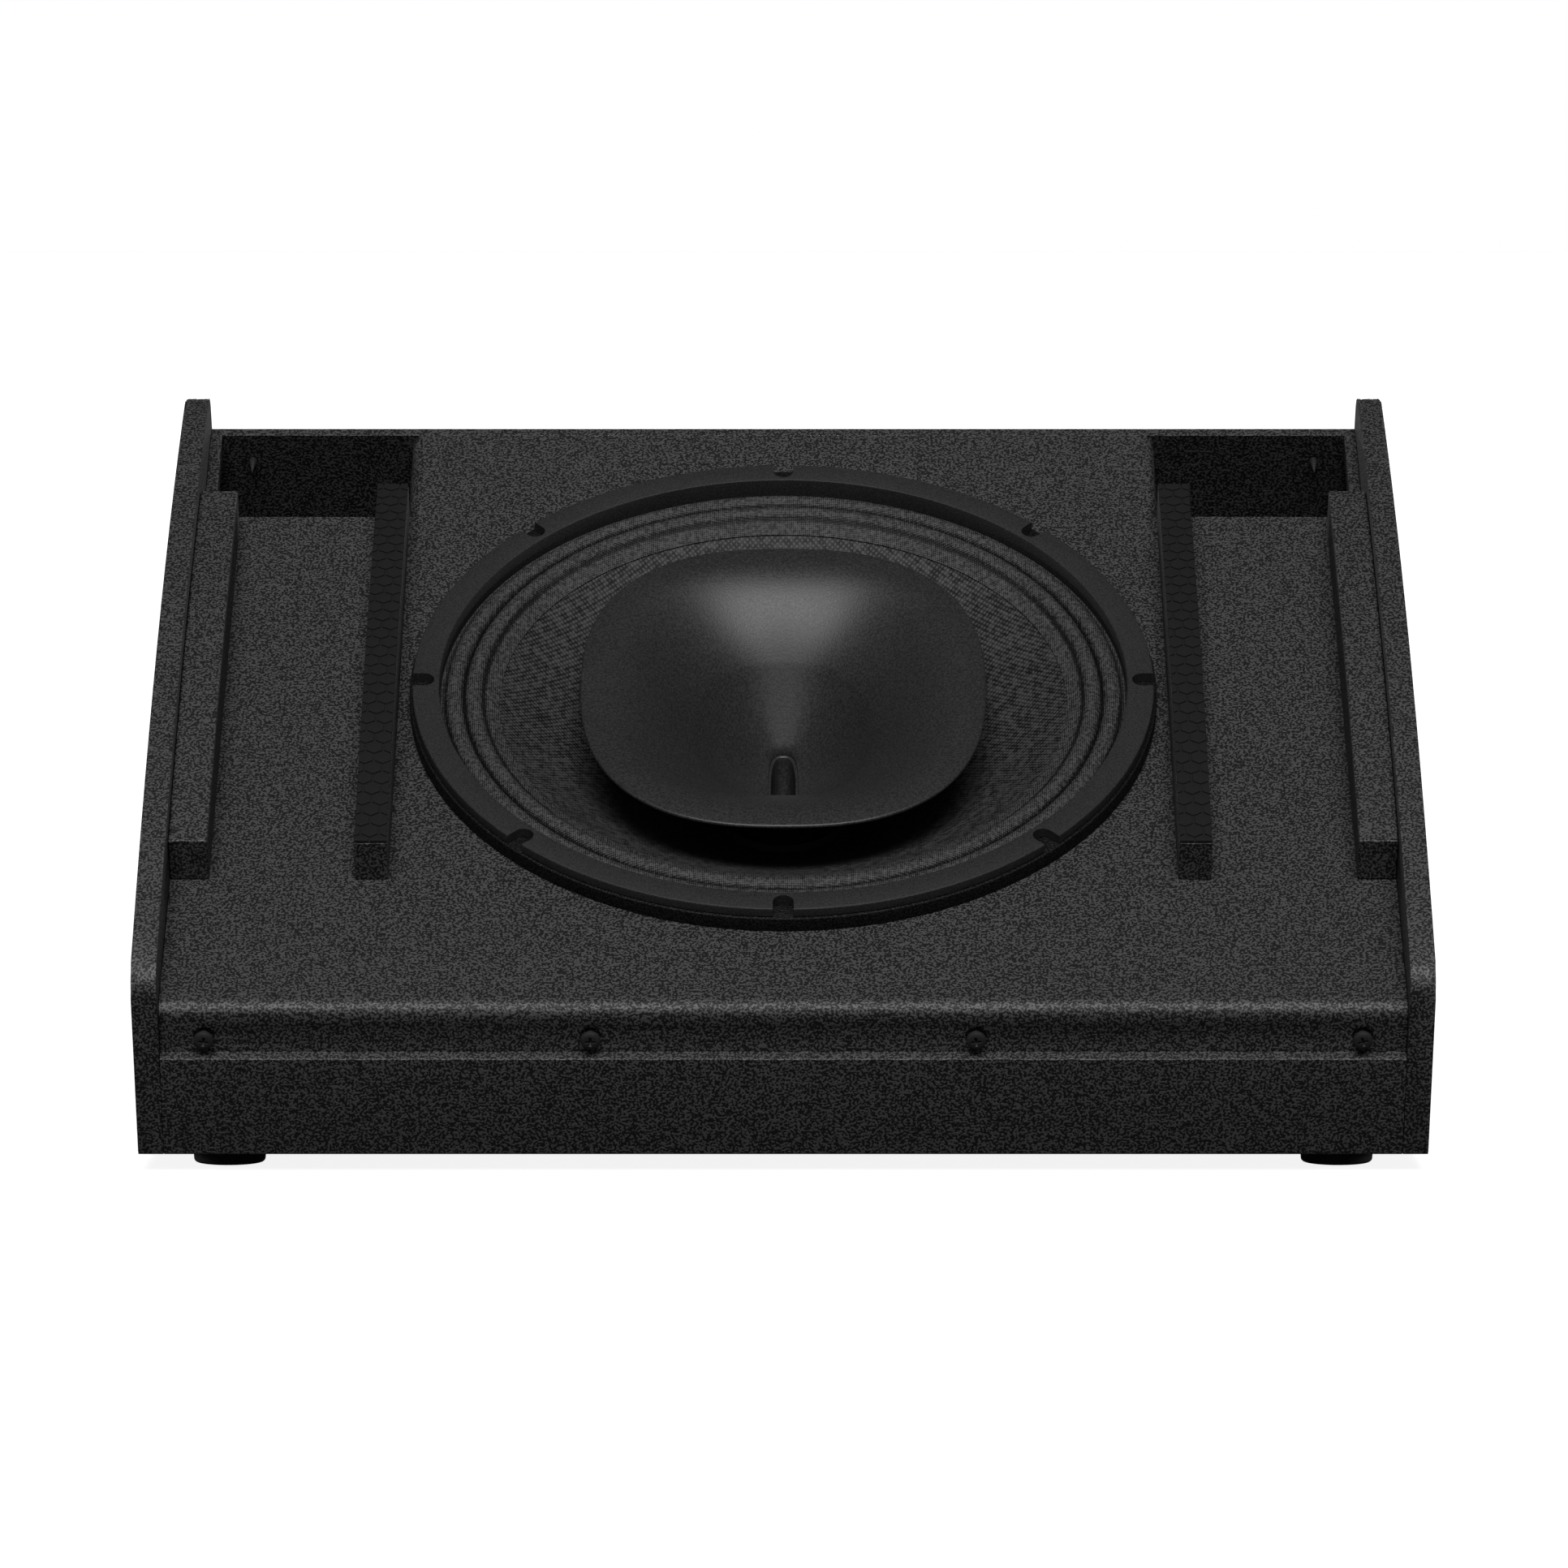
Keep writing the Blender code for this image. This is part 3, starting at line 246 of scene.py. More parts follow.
def structured_paint(name, dark, light, grain, height, specular=0.3):
    """Sprayed polyurea: close grains whose tops are paler than the pits between them, partly the paint's own
    uneven tone and partly painted shade in the pits and painted light on the tops.
    """
    shader = Shader(name, 0.55, specular=specular)
    grains = shader.noise(1.0 / grain, 0.0)
    shader.bump(grains, height)
    cloud = shader.span(shader.noise(14.0), -0.01, 0.01)
    # Painted shade: the colour follows the grain height, darker in the pits and paler on the tops.
    shader.colour(shader.math('ADD', grains, cloud), dark, light, (0.46, 0.57))
    shader.roughness(grains, 0.62, 0.48, (0.35, 0.65))
    return shader.material


def moulded(name, dark, light, rough, grain, height, metallic=0.0, specular=0.5):
    """Moulded or sprayed surface with a fine even grain and faint cloudiness."""
    shader = Shader(name, rough, metallic, specular)
    fine = shader.noise(1.0 / grain, 3.0, 0.6)
    cloud = shader.noise(22.0, 3.0)
    shader.bump(fine, height)
    shader.colour(shader.math('ADD', shader.math('MULTIPLY', fine, 0.9),
                              shader.math('MULTIPLY', cloud, 0.1)), dark, light, (0.4, 0.6))
    shader.roughness(fine, rough - 0.06, rough + 0.06)
    return shader.material


def tilted_place(shader, turn=0.0):
    """Texture coordinates that lie in the baffle's plane, turned about the driver's axis."""
    angle = -math.atan2(SLOPE.z, SLOPE.y)
    tilt = shader.add("ShaderNodeMapping", {"Vector": shader.place, "Rotation": (angle, 0.0, 0.0)})
    spin = shader.add("ShaderNodeMapping", {"Vector": tilt.outputs[0],
                                            "Rotation": (0.0, 0.0, turn)})
    return spin.outputs[0]


def woven(name, dark, light, pitch, height, rough, turn=0.0, painted_valley_shade=None):
    """Plain weave of one thread pitch; the valley argument paints shade as darker rings a pitch apart in radius,
    in the creases between the surround's rolls.
    """
    shader = Shader(name, rough, specular=0.2)
    split = shader.add("ShaderNodeSeparateXYZ", {"Vector": tilted_place(shader, turn)})
    waves = []
    for axis in ("X", "Y"):
        phase = shader.math('MULTIPLY', split.outputs[axis], 2 * math.pi / pitch)
        waves.append(shader.math('SINE', phase))
    check = shader.math('MULTIPLY', waves[0], waves[1])
    over = shader.math('ABSOLUTE', check)
    fibres = shader.noise(1.2 / pitch, 1.0)
    relief = shader.math('ADD', shader.math('MULTIPLY', over, 0.5), fibres)
    shader.bump(relief, height)
    # Painted shade: darken rings at the surround's roll valleys, where shade falls in the creases.
    if painted_valley_shade:
        up = shader.math('SUBTRACT', split.outputs["Y"], ORIGIN.dot(SLOPE))
        across = split.outputs["X"]
        square = shader.math('ADD', shader.math('MULTIPLY', across, across),
                             shader.math('MULTIPLY', up, up))
        inward = shader.math('SUBTRACT', shader.math('SQRT', square), painted_valley_shade[0] * MM)
        wave = shader.math('SINE', shader.math('MULTIPLY', inward, math.pi / (painted_valley_shade[1] * MM)))
        shade = shader.span(shader.math('ABSOLUTE', wave), -0.4, 0.0, (0.05, 0.5))
        relief = shader.math('ADD', relief, shade)
    shader.colour(relief, dark, light, (0.5, 0.95))
    return shader.material


def brushed_metal(name, dark, light, rough):
    """Bare metal with fine streaks drawn out along Z."""
    shader = Shader(name, rough, 1.0)
    stretched = shader.add("ShaderNodeMapping", {"Vector": shader.place,
                                                 "Scale": (1.0, 1.0, 0.04)}).outputs[0]
    streaks = shader.noise(900.0, 3.0, 0.6, stretched)
    shader.bump(streaks, 0.00004)
    shader.colour(streaks, dark, light)
    shader.roughness(streaks, rough - 0.08, rough + 0.12)
    return shader.material


def wound_wire(name, dark, light, pitch):
    """Enamelled wire in close turns round the driver's axis or up a choke."""
    shader = Shader(name, 0.3, 1.0)
    bands = shader.add("ShaderNodeTexWave", {"Vector": shader.place, "Scale": 0.32 / pitch,
                                             "Distortion": 0.3}, bands_direction='Z')
    shader.bump(bands.outputs["Fac"], 0.0003)
    shader.colour(bands.outputs["Fac"], dark, light)
    return shader.material


def foam(name, dark, light, cell):
    """Open-cell foam: deep irregular pores."""
    shader = Shader(name, 0.95, specular=0.2)
    pores = shader.lumps(1.0 / cell, 0.2)
    shader.bump(pores, cell * 0.5)
    shader.colour(pores, light, dark, (0.15, 0.7))
    return shader.material


def make_materials():
    return {
        "textured_paint": structured_paint("textured_paint", grey(0.0), grey(0.036),
                                           0.0012, 0.0004),
        # Duct paint: the cabinet's polyurea made far darker, painted shade for the port interior.
        "duct_paint": structured_paint("duct_paint", grey(0.0), grey(0.003), 0.001, 0.0003,
                                       specular=0.1),
        # Spacer paint: the cabinet's polyurea made far darker, painted shade under the driver's flange.
        "spacer_paint": structured_paint("spacer_paint", grey(0.0), grey(0.005),
                                         0.001, 0.0004, specular=0.12),
        "foot_rubber": moulded("foot_rubber", grey(0.002), grey(0.004), 0.75, 0.0006, 0.00005,
                               specular=0.15),
        "foam_pad": moulded("foam_pad", grey(0.004), grey(0.0065), 0.8, 0.0004, 0.00005,
                            specular=0.12),
        "screw_steel": moulded("screw_steel", grey(0.007), grey(0.012), 0.65, 0.0005, 0.00002,
                               specular=0.2),
        "driver_frame": moulded("driver_frame", grey(0.006), grey(0.014), 0.62, 0.0009, 0.0002,
                                specular=0.22),
        # Surround cloth with painted shade in the valleys between its rolls.
        "surround_cloth": woven("surround_cloth", grey(0.001), grey(0.045), 0.0022, 0.0003,
                                0.62, painted_valley_shade=(ROLLS[0][1], ROLLS[0][0] - ROLLS[0][1])),
        "cone_paper": woven("cone_paper", grey(0.001), grey(0.034), 0.0042, 0.0004, 0.62,
                            math.radians(45.0)),
        "spider_cloth": woven("spider_cloth", (0.2, 0.12, 0.04), (0.42, 0.29, 0.13), 0.001,
                              0.0002, 0.8),
        "former_sheet": moulded("former_sheet", (0.012, 0.01, 0.008), (0.02, 0.016, 0.012), 0.6,
                                0.0006, 0.00003),
        "coil_copper": wound_wire("coil_copper", (0.25, 0.07, 0.03), (0.7, 0.28, 0.12), 0.0004),
        "motor_steel": brushed_metal("motor_steel", (0.4, 0.4, 0.38), (0.6, 0.6, 0.57), 0.35),
        "magnet_plating": brushed_metal("magnet_plating", (0.5, 0.5, 0.48), (0.7, 0.7, 0.67),
                                        0.25),
        "horn_plastic": moulded("horn_plastic", grey(0.008), grey(0.0175), 0.43, 0.0012, 0.0001,
                                specular=0.25),
        "hf_cover_plastic": moulded("hf_cover_plastic", grey(0.018), grey(0.026), 0.55, 0.0008,
                                    0.00006),
        "dome_foil": brushed_metal("dome_foil", (0.05, 0.05, 0.055), (0.09, 0.09, 0.095), 0.5),
        "plate_paint": moulded("plate_paint", grey(0.016), grey(0.024), 0.5, 0.0007, 0.00008),
        "socket_plastic": moulded("socket_plastic", grey(0.012), grey(0.019), 0.4, 0.0006,
                                  0.00003),
        "handle_plastic": moulded("handle_plastic", grey(0.014), grey(0.022), 0.55, 0.0009,
                                  0.0001),
        "grip_rubber": moulded("grip_rubber", grey(0.01), grey(0.017), 0.7, 0.0006, 0.00008,
                               specular=0.3),
        "circuit_board": moulded("circuit_board", (0.01, 0.07, 0.025), (0.02, 0.12, 0.045), 0.35,
                                 0.0012, 0.00004),
        "choke_copper": wound_wire("choke_copper", (0.22, 0.06, 0.02), (0.65, 0.25, 0.1), 0.0012),
        "capacitor_film": moulded("capacitor_film", (0.35, 0.25, 0.03), (0.5, 0.38, 0.06), 0.25,
                                  0.002, 0.00002),
        "cable_sheath": moulded("cable_sheath", grey(0.012), grey(0.02), 0.55, 0.0005, 0.00004),
        "lining_foam": foam("lining_foam", grey(0.02), grey(0.09), 0.0016),
    }


MATERIALS = make_materials()
NODE_SLOT = {row["node"]: row["material_slot"] for row in frame["record"]["subparts"]}


# ---------------------------------------------------------------- mesh helpers

def give_material(obj, slot):
    """Only the slot's own material on the object."""
    obj.data.materials.clear()
    obj.data.materials.append(MATERIALS[slot])


def ease_edges(obj, width, angle=30.0, segments=2):
    """Small rounding on every edge sharper than angle, in millimetres."""
    bevel = obj.modifiers.new("eased_edges", 'BEVEL')
    bevel.width = width * MM
    bevel.segments = segments
    bevel.limit_method = 'ANGLE'
    bevel.angle_limit = math.radians(angle)
    bevel.harden_normals = True


def piece_from_mesh(name, mesh, slot, body, replaced, sharp=35.0):
    mesh.shade_smooth()
    mesh.set_sharp_from_angle(angle=math.radians(sharp))
    obj = bpy.data.objects.new(name, mesh)
    bpy.context.scene.collection.objects.link(obj)
    give_material(obj, slot)
    if body is not None:
        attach(obj, body)
    if replaced:
        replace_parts(obj, *replaced)
    return obj


def mesh_from(name, shape, matrix=WORLD):
    """Mesh in metres, in the row frame, from a bmesh in millimetres."""
    bmesh.ops.remove_doubles(shape, verts=shape.verts, dist=0.0005)
    bmesh.ops.recalc_face_normals(shape, faces=shape.faces)
    mesh = bpy.data.meshes.new(name)
    shape.to_mesh(mesh)
    shape.free()
    mesh.transform(matrix @ Matrix.Scale(MM, 4))
    return mesh


def piece(name, shape, matrix, slot, node, body=CABINET, sharp=35.0):
    """A new piece that stands for one CAD node."""
    return piece_from_mesh(name, mesh_from(name, shape, matrix), slot, body, [node], sharp)


def add_loft(shape, rings, closed=False):
    """Quads between rings of equal count, with end caps or joined end to end."""
    rows = [[shape.verts.new(point) for point in ring] for ring in rings]
    count = len(rows[0])
    pairs = list(zip(rows, rows[1:]))
    if closed:
        pairs.append((rows[-1], rows[0]))
    for low, high in pairs:
        for i in range(count):
            j = (i + 1) % count
            shape.faces.new((low[i], low[j], high[j], high[i]))
    if not closed:
        shape.faces.new(list(reversed(rows[0])))
        shape.faces.new(rows[-1])
    return rows


def circle(radius, count, centre=(0.0, 0.0)):
    turn = 2 * math.pi / count
    return [(centre[0] + radius * math.cos(i * turn), centre[1] + radius * math.sin(i * turn))
            for i in range(count)]


def turned(profile, segments, shape=None, centre=(0.0, 0.0)):
    """Closed (radius, height) outline turned about local Z."""
    shape = shape or bmesh.new()
    turn = 2 * math.pi / segments
    rings = []
    for i in range(segments):
        c, s = math.cos(i * turn), math.sin(i * turn)
        rings.append([(centre[0] + r * c, centre[1] + r * s, h) for r, h in profile])
    add_loft(shape, rings, closed=True)
    return shape


def stacked(levels, segments, shape=None, centre=(0.0, 0.0)):
    """Solid stack of (radius, height) levels with flat ends."""
    shape = shape or bmesh.new()
    add_loft(shape, [[(x, y, h) for x, y in circle(r, segments, centre)] for r, h in levels])
    return shape


def arc(centre, radius, start, end, steps):
    """Points of an arc in degrees, both ends included."""
    points = []
    for i in range(steps + 1):
        angle = math.radians(start + (end - start) * i / steps)
        points.append((centre[0] + radius * math.cos(angle),
                       centre[1] + radius * math.sin(angle)))
    return points


def sheet_outline(line, thickness):
    """Closed outline of a sheet under its upper line."""
    below = []
    for i, (r, h) in enumerate(line):
        r0, h0 = line[max(i - 1, 0)]
        r1, h1 = line[min(i + 1, len(line) - 1)]
        length = math.hypot(r1 - r0, h1 - h0)
        below.append((r - (h1 - h0) / length * thickness, h + (r1 - r0) / length * thickness))
    return list(line) + list(reversed(below))


def rounded_rectangle(half_a, half_b, radius, steps=6, centre=(0.0, 0.0)):
    points = []
    for sign_a, sign_b, start in ((1, 1, 0), (-1, 1, 90), (-1, -1, 180), (1, -1, 270)):
        corner = (centre[0] + sign_a * (half_a - radius), centre[1] + sign_b * (half_b - radius))
        points += arc(corner, radius, start, start + 90, steps)
    return points


def add_prism(shape, outline, low, high):
    return add_loft(shape, [[(a, b, h) for a, b in outline] for h in (low, high)])


def combined(mesh, other_mesh, operation):
    """Exact Boolean of two closed meshes."""
    target = bpy.data.objects.new("target", mesh)
    tool = bpy.data.objects.new("tool", other_mesh)
    for obj in (target, tool):
        bpy.context.scene.collection.objects.link(obj)
    modifier = target.modifiers.new("combine", 'BOOLEAN')
    modifier.operation = operation
    modifier.object = tool
    modifier.solver = 'EXACT'
    bpy.context.view_layer.update()
    evaluated = target.evaluated_get(bpy.context.evaluated_depsgraph_get())
    result = bpy.data.meshes.new_from_object(evaluated)
    for obj in (target, tool):
        bpy.data.objects.remove(obj, do_unlink=True)
    result.name = mesh.name
    return result


def cut_away(mesh, cutter_mesh):
    return combined(mesh, cutter_mesh, 'DIFFERENCE')


# ---------------------------------------------------------------- cabinet

def eased_panel(node, width, segments=2, sharp=35.0):
    """The CAD panel with its flat faces joined up and its edges eased by the paint."""
    shape = bmesh.new()
    shape.from_mesh(NODES[node].data)
    bmesh.ops.remove_doubles(shape, verts=shape.verts, dist=0.00001)
    bmesh.ops.dissolve_limit(shape, angle_limit=math.radians(0.4), verts=shape.verts,
                             edges=shape.edges)
    mesh = bpy.data.meshes.new(node + "_finished")
    shape.to_mesh(mesh)
    shape.free()
    obj = piece_from_mesh(node + "_finished", mesh, NODE_SLOT[node], CABINET, [node], sharp)
    ease_edges(obj, width, segments=segments)
    return obj


def make_cabinet():
    for node in ("side_panel_left", "side_panel_right"):
        eased_panel(node, 0.8)
    for node in ("front_panel", "bottom_panel", "rear_panel", "rear_upper_panel", "baffle"):
        eased_panel(node, 0.6)
    for side in ("left", "right"):
        eased_panel("outer_batten_" + side, 0.9)
        eased_panel("inner_batten_" + side, 0.5)
        eased_panel("port_front_plate_" + side, 0.6)
        eased_panel("port_side_plate_" + side, 0.6)


def hexagon(radius, centre):
    return [(centre[0] + radius * math.cos(math.radians(30 + 60 * i)),
             centre[1] + radius * math.sin(math.radians(30 + 60 * i))) for i in range(6)]


def clip(outline, axis, limit, keep_above):
    """The part of a convex outline on one side of a line."""
    kept = []
    sign = 1.0 if keep_above else -1.0
    for i, here in enumerate(outline):
        back = outline[i - 1]
        inside_here = sign * (here[axis] - limit) >= 0
        inside_back = sign * (back[axis] - limit) >= 0
        if inside_here != inside_back:
            t = (limit - back[axis]) / (here[axis] - back[axis])
            kept.append((back[0] + (here[0] - back[0]) * t, back[1] + (here[1] - back[1]) * t))
        if inside_here:
            kept.append(here)
    return kept


def make_grille_pad(side):
    """Foam strip on the inner batten, pressed with hexagons whose flats face across."""
    node = "grille_pad_" + side
    low_x, high_x = (value / MM for value in extent(node, ACROSS))
    front, rear = (value / MM for value in extent(node, SLOPE, ORIGIN))
    upper, lower = top_curves(node)
    base = 0.3

    def at(x, s, share):
        """Point on the strip; share runs from its underside to its top."""
        n = lower(s) + (upper(s) - lower(s)) * share
        return (x, s, n)

    shape = bmesh.new()
    steps = 60
    floor_share = 1.0 - HEX_DEPTH / (upper(0.0) - lower(0.0))
    rings = []
    for i in range(steps + 1):
        s = front + base + (rear - front - 2 * base) * i / steps
        rings.append([at(low_x, s, 0.0), at(high_x, s, 0.0), at(high_x, s, floor_share),
                      at(low_x, s, floor_share)])
    add_loft(shape, rings)
    radius = (HEX_ACROSS - HEX_GROOVE) / math.sqrt(3)
    row_step = HEX_ACROSS * math.sqrt(3) / 2
    rows = int((rear - front) / row_step) + 2
    for row in range(rows):
        for column in range(-2, 4):
            x = low_x + 3.0 + HEX_ACROSS * (column + 0.5 * (row % 2))
            s = front + row_step * row
            outline = hexagon(radius, (x, s))
            for axis, limit, above in ((0, low_x + 0.1, True), (0, high_x - 0.1, False),
                                       (1, front + base, True), (1, rear - base, False)):
                outline = clip(outline, axis, limit, above) if len(outline) > 2 else outline
            if len(outline) < 3:
                continue
            cx = sum(p[0] for p in outline) / len(outline)
            cs = sum(p[1] for p in outline) / len(outline)
            levels = []
            for share, shrink in ((floor_share - 0.08, 1.0), (0.97, 0.97), (1.0, 0.9)):
                levels.append([at(cx + (a - cx) * shrink, cs + (b - cs) * shrink, share)
                               for a, b in outline])
            add_loft(shape, levels)
    pad = piece(node + "_pressed", shape, DRIVER, "foam_pad", node)
    return pad


def top_curves(node):
    """Heights of a curved strip's top and underside along the slope, as functions."""
    points = np.array([((v.co - ORIGIN).dot(SLOPE) / MM, (v.co - ORIGIN).dot(NORMAL) / MM)
                       for v in NODES[node].data.vertices])
    stations = sorted(set(np.round(points[:, 0], 1)))
    highs = []
    lows = []
    for s in stations:
        near = points[np.abs(points[:, 0] - s) < 0.2][:, 1]
        highs.append(near.max())
        lows.append(near.min())
    return (lambda s: float(np.interp(s, stations, highs)),
            lambda s: float(np.interp(s, stations, lows)))


# ---------------------------------------------------------------- screws and feet

def screw_frame(node):
    """Frame of a CAD screw: Z along it, out of the head; its origin is the head's top."""
    points = np.array([v.co[:] for v in NODES[node].data.vertices])
    centred = points - points.mean(axis=0)
    axis = Vector(np.linalg.eigh(centred.T @ centred)[1][:, -1])
    along = centred @ np.array(axis)
    radius = np.linalg.norm(centred - np.outer(along, np.array(axis)), axis=1)
    if radius[along > 0].max() < radius[along < 0].max():
        axis = -axis
        along = -along
    top = Vector(points.mean(axis=0)) + axis * float(along.max())
    side = Vector((1.0, 0.0, 0.0))
    return axes_matrix(top, side, axis.cross(side), axis), float(along.max() - along.min()) / MM


def screw_mesh(name, scale, length, point):
    """Pan head with a cross recess on a threaded shank; Z = 0 is the top of the head."""
    head, height = SCREW_HEAD_RADIUS * scale, SCREW_HEAD_HEIGHT * scale
    shank, pitch = SCREW_SHANK * scale, SCREW_PITCH * scale
    levels = [(0.25 * scale, -length)]
    z = -length + pitch
    while z < -height - pitch:
        full = min(1.0, (z + length) / point)
        levels.append((shank * 0.72 * full, z - pitch * 0.35))
        levels.append((shank * full, z))
        z += pitch
    levels += [(shank * 0.9, -height - 0.1), (head - 0.3, -height), (head, -height + 0.3),
               (head, -height * 0.35)]
    levels += [(head * c, h) for c, h in ((0.97, -height * 0.2), (0.86, -height * 0.09),
                                          (0.66, -height * 0.03), (0.42, -0.02))]
    body = mesh_from(name, stacked(levels, 32))
    wide, narrow = 2.9 * scale, 0.75 * scale
    for a, b in ((wide, narrow), (narrow, wide)):
        recess = bmesh.new()
        rings = [[(x * k, y * k, h) for x, y in ((a, b), (-a, b), (-a, -b), (a, -b))]
                 for k, h in ((0.45, -2.0 * scale), (1.1, 0.5))]
        add_loft(recess, rings)
        body = cut_away(body, mesh_from("recess", recess))
    return body


def make_screws():
    kinds = (("grille_screw_front_%d", 4, 1.0, 9.0), ("grille_screw_rear_%d", 4, 1.0, 9.0),
             ("connector_plate_screw_%d", 4, 0.6, 3.0))
    for pattern, count, scale, point in kinds:
        length = screw_frame(pattern % 1)[1]
        shared = screw_mesh(pattern % 0, scale, length, point)
        for i in range(1, count + 1):
            node = pattern % i
            matrix = screw_frame(node)[0]
            turn = Matrix.Rotation(math.radians(37.0 * i if scale < 1 else 8.0 * (i - 2)), 4, 'Z')
            mesh = shared.copy()
            mesh.transform(matrix @ turn)
            piece_from_mesh(node + "_cross_head", mesh, "screw_steel", CABINET, [node], 30.0)


def make_feet():
    """Turned rubber feet with a fillet at the floor and a screw in a counterbore."""
    for end in ("front", "rear"):
        for side in ("left", "right"):
            node = "rubber_foot_%s_%s" % (end, side)
            low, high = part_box(node)
            centre = (low + high) / 2
            radius = (high.x - low.x) / 2 / MM
            top = high.z / MM
            profile = [(5.0, 0.4), (5.4, 0.0)]
            profile += arc((radius - 2.7, 2.2), 2.2, -90.0, -8.0, 6)
            profile += [(radius, top - 0.4), (radius - 0.4, top), (2.4, top), (2.4, 4.0),
                        (5.0, 4.0)]
            matrix = Matrix.Translation((centre.x, centre.y, 0.0))
            piece(node + "_moulded", turned(profile, FOOT_SEGMENTS), matrix, "foot_rubber", node)
            head = [(2.0, 8.4), (2.0, 3.9), (4.3, 3.9), (4.5, 3.6), (4.5, 2.6), (3.6, 1.7),
                    (1.8, 1.4), (1.6, 2.6), (0.5, 2.9)]
            screw = stacked(list(reversed(head)), 32)
            piece_from_mesh("foot_screw_%s_%s" % (end, side),
                            mesh_from("foot_screw", screw, matrix), "screw_steel", CABINET, [])


# ---------------------------------------------------------------- driver

def make_spacer_ring():
    low, high = driver_span("driver_spacer_ring")
    outer = extent("driver_spacer_ring", ACROSS)[1] / MM
    inner = 186.6
    edge = 0.7
    profile = [(inner, low), (outer, low), (outer, high - edge), (outer - edge * 0.3, high - 0.2),
               (outer - edge, high), (inner, high)]
    piece("driver_spacer_ring_finished", turned(profile, DRIVER_SEGMENTS), DRIVER,
          "spacer_paint", "driver_spacer_ring")


def make_basket():
    """Cast frame: flange with open notches, surround ledge and eight windows."""
    top = driver_span("driver_basket")[1]
    outer = extent("driver_spacer_ring", ACROSS)[1] / MM - 1.5
    under = top - FLANGE_THICKNESS
    edge = 0.8
    ledge = SURROUND_LAND - CLOTH_THICKNESS - 0.1
    profile = arc((outer - edge, top - edge), edge, 90.0, 0.0, 3)
    profile += [(outer, under + 0.3), (outer - 0.3, under), (185.6, under), (185.6, -14.0),
                (178.0, -26.0), (102.0, -87.0), (80.0, -89.0), (78.0, -95.0), (52.0, -95.0),
                (52.0, -91.5), (73.0, -91.5), (75.0, -84.0), (84.0, -81.0), (99.0, -81.0),
                (174.0, -21.5), (180.5, -12.0), (180.5, 0.5), (176.5, 0.5), (176.5, ledge),
                (FLANGE_INNER, ledge)]
    profile += arc((FLANGE_INNER + 0.6, top - 0.6), 0.6, 180.0, 90.0, 3)
    body = mesh_from("basket", turned(profile, DRIVER_SEGMENTS))
    windows = bmesh.new()
    notches = bmesh.new()
    for i in range(NOTCH_COUNT):
        spin = Matrix.Rotation(2 * math.pi * (i + 0.5) / NOTCH_COUNT, 4, 'Z')
        outline = [(106.0, -24.0), (168.0, -47.0), (168.0, 47.0), (106.0, 24.0)]
        rows = add_prism(windows, outline, -100.0, -12.0)
        bmesh.ops.transform(windows, matrix=spin, verts=[v for row in rows for v in row])
        spin = Matrix.Rotation(2 * math.pi * i / NOTCH_COUNT, 4, 'Z')
        half = NOTCH_WIDTH / 2
        outline = [(outer + 8, -half), (outer + 8, half)]
        outline += arc((NOTCH_INNER + half, 0.0), half, 90.0, 270.0, 14)
        rows = add_prism(notches, outline, under - 4, top + 4)
        bmesh.ops.transform(notches, matrix=spin, verts=[v for row in rows for v in row])
    body = cut_away(body, mesh_from("windows", windows))
    body = cut_away(body, mesh_from("notches", notches))
    body.transform(DRIVER)
    obj = piece_from_mesh("driver_basket_cast", body, "driver_frame", CABINET, ["driver_basket"],
                          32.0)
    return obj


def surround_line():
    """Upper line of the cloth: outer land, two rolls, then the ring glued to the cone."""
    line = [(SURROUND_OUTER, SURROUND_LAND), (180.4, SURROUND_LAND)]
    steps = 14
    for outer, inner, rise in ROLLS:
        for i in range(steps):
            t = i / steps
            hump = math.sin(math.pi * t) ** ROLL_ROUNDNESS
            line.append((outer + (inner - outer) * t, SURROUND_LAND + rise * hump))
    (r0, n0), (r1, n1) = GLUE_RING
    line += [(r0 + (r1 - r0) * i / 6, n0 + (n1 - n0) * i / 6) for i in range(7)]
    return line


def radial_blend(obj):
    """Frees the piece from any body and bakes its placement into its mesh."""
    obj.parent = None
    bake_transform(obj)


def make_surround():
    outline = sheet_outline(surround_line(), CLOTH_THICKNESS)
    mesh = mesh_from("surround_rolled", turned(outline, DRIVER_SEGMENTS), DRIVER)
    obj = piece_from_mesh("surround_rolled", mesh, "surround_cloth", None, ["surround"], 60.0)
    radial_blend(obj)


def make_cone():
    steps = 30
    line = []
    for i in range(steps + 1):
        t = i / steps
        r = CONE_EDGE[0] + (CONE_NECK[0] - CONE_EDGE[0]) * t
        n = CONE_EDGE[1] + (CONE_NECK[1] - CONE_EDGE[1]) * t
        line.append((r, n))
    shape = turned(sheet_outline(line, CLOTH_THICKNESS), DRIVER_SEGMENTS)
    piece("cone_woven", shape, DRIVER, "cone_paper", "cone", CONE_BODY, 60.0)


def make_spider():
    """Corrugated disc that centres the coil; the real one is fixed at its rim and moves at its collar, while this
    piece is left on no body.
    """
    level = driver_span("spider")[1] - 1.8
    line = [(96.0, level), (88.0, level)]
    crests = 6
    steps = 8 * (crests - 1)
    inner = 44.0
    for i in range(1, steps):
        r = 88.0 + (inner - 88.0) * i / steps
        line.append((r, level + 1.7 * math.sin(math.pi * crests * i / steps)))
    line.append((40.9, level))
    outline = sheet_outline(line, CLOTH_THICKNESS)
    mesh = mesh_from("spider_corrugated", turned(outline, 96), DRIVER)
    obj = piece_from_mesh("spider_corrugated", mesh, "spider_cloth", None, ["spider"], 60.0)
    radial_blend(obj)


# ---------------------------------------------------------------- horn

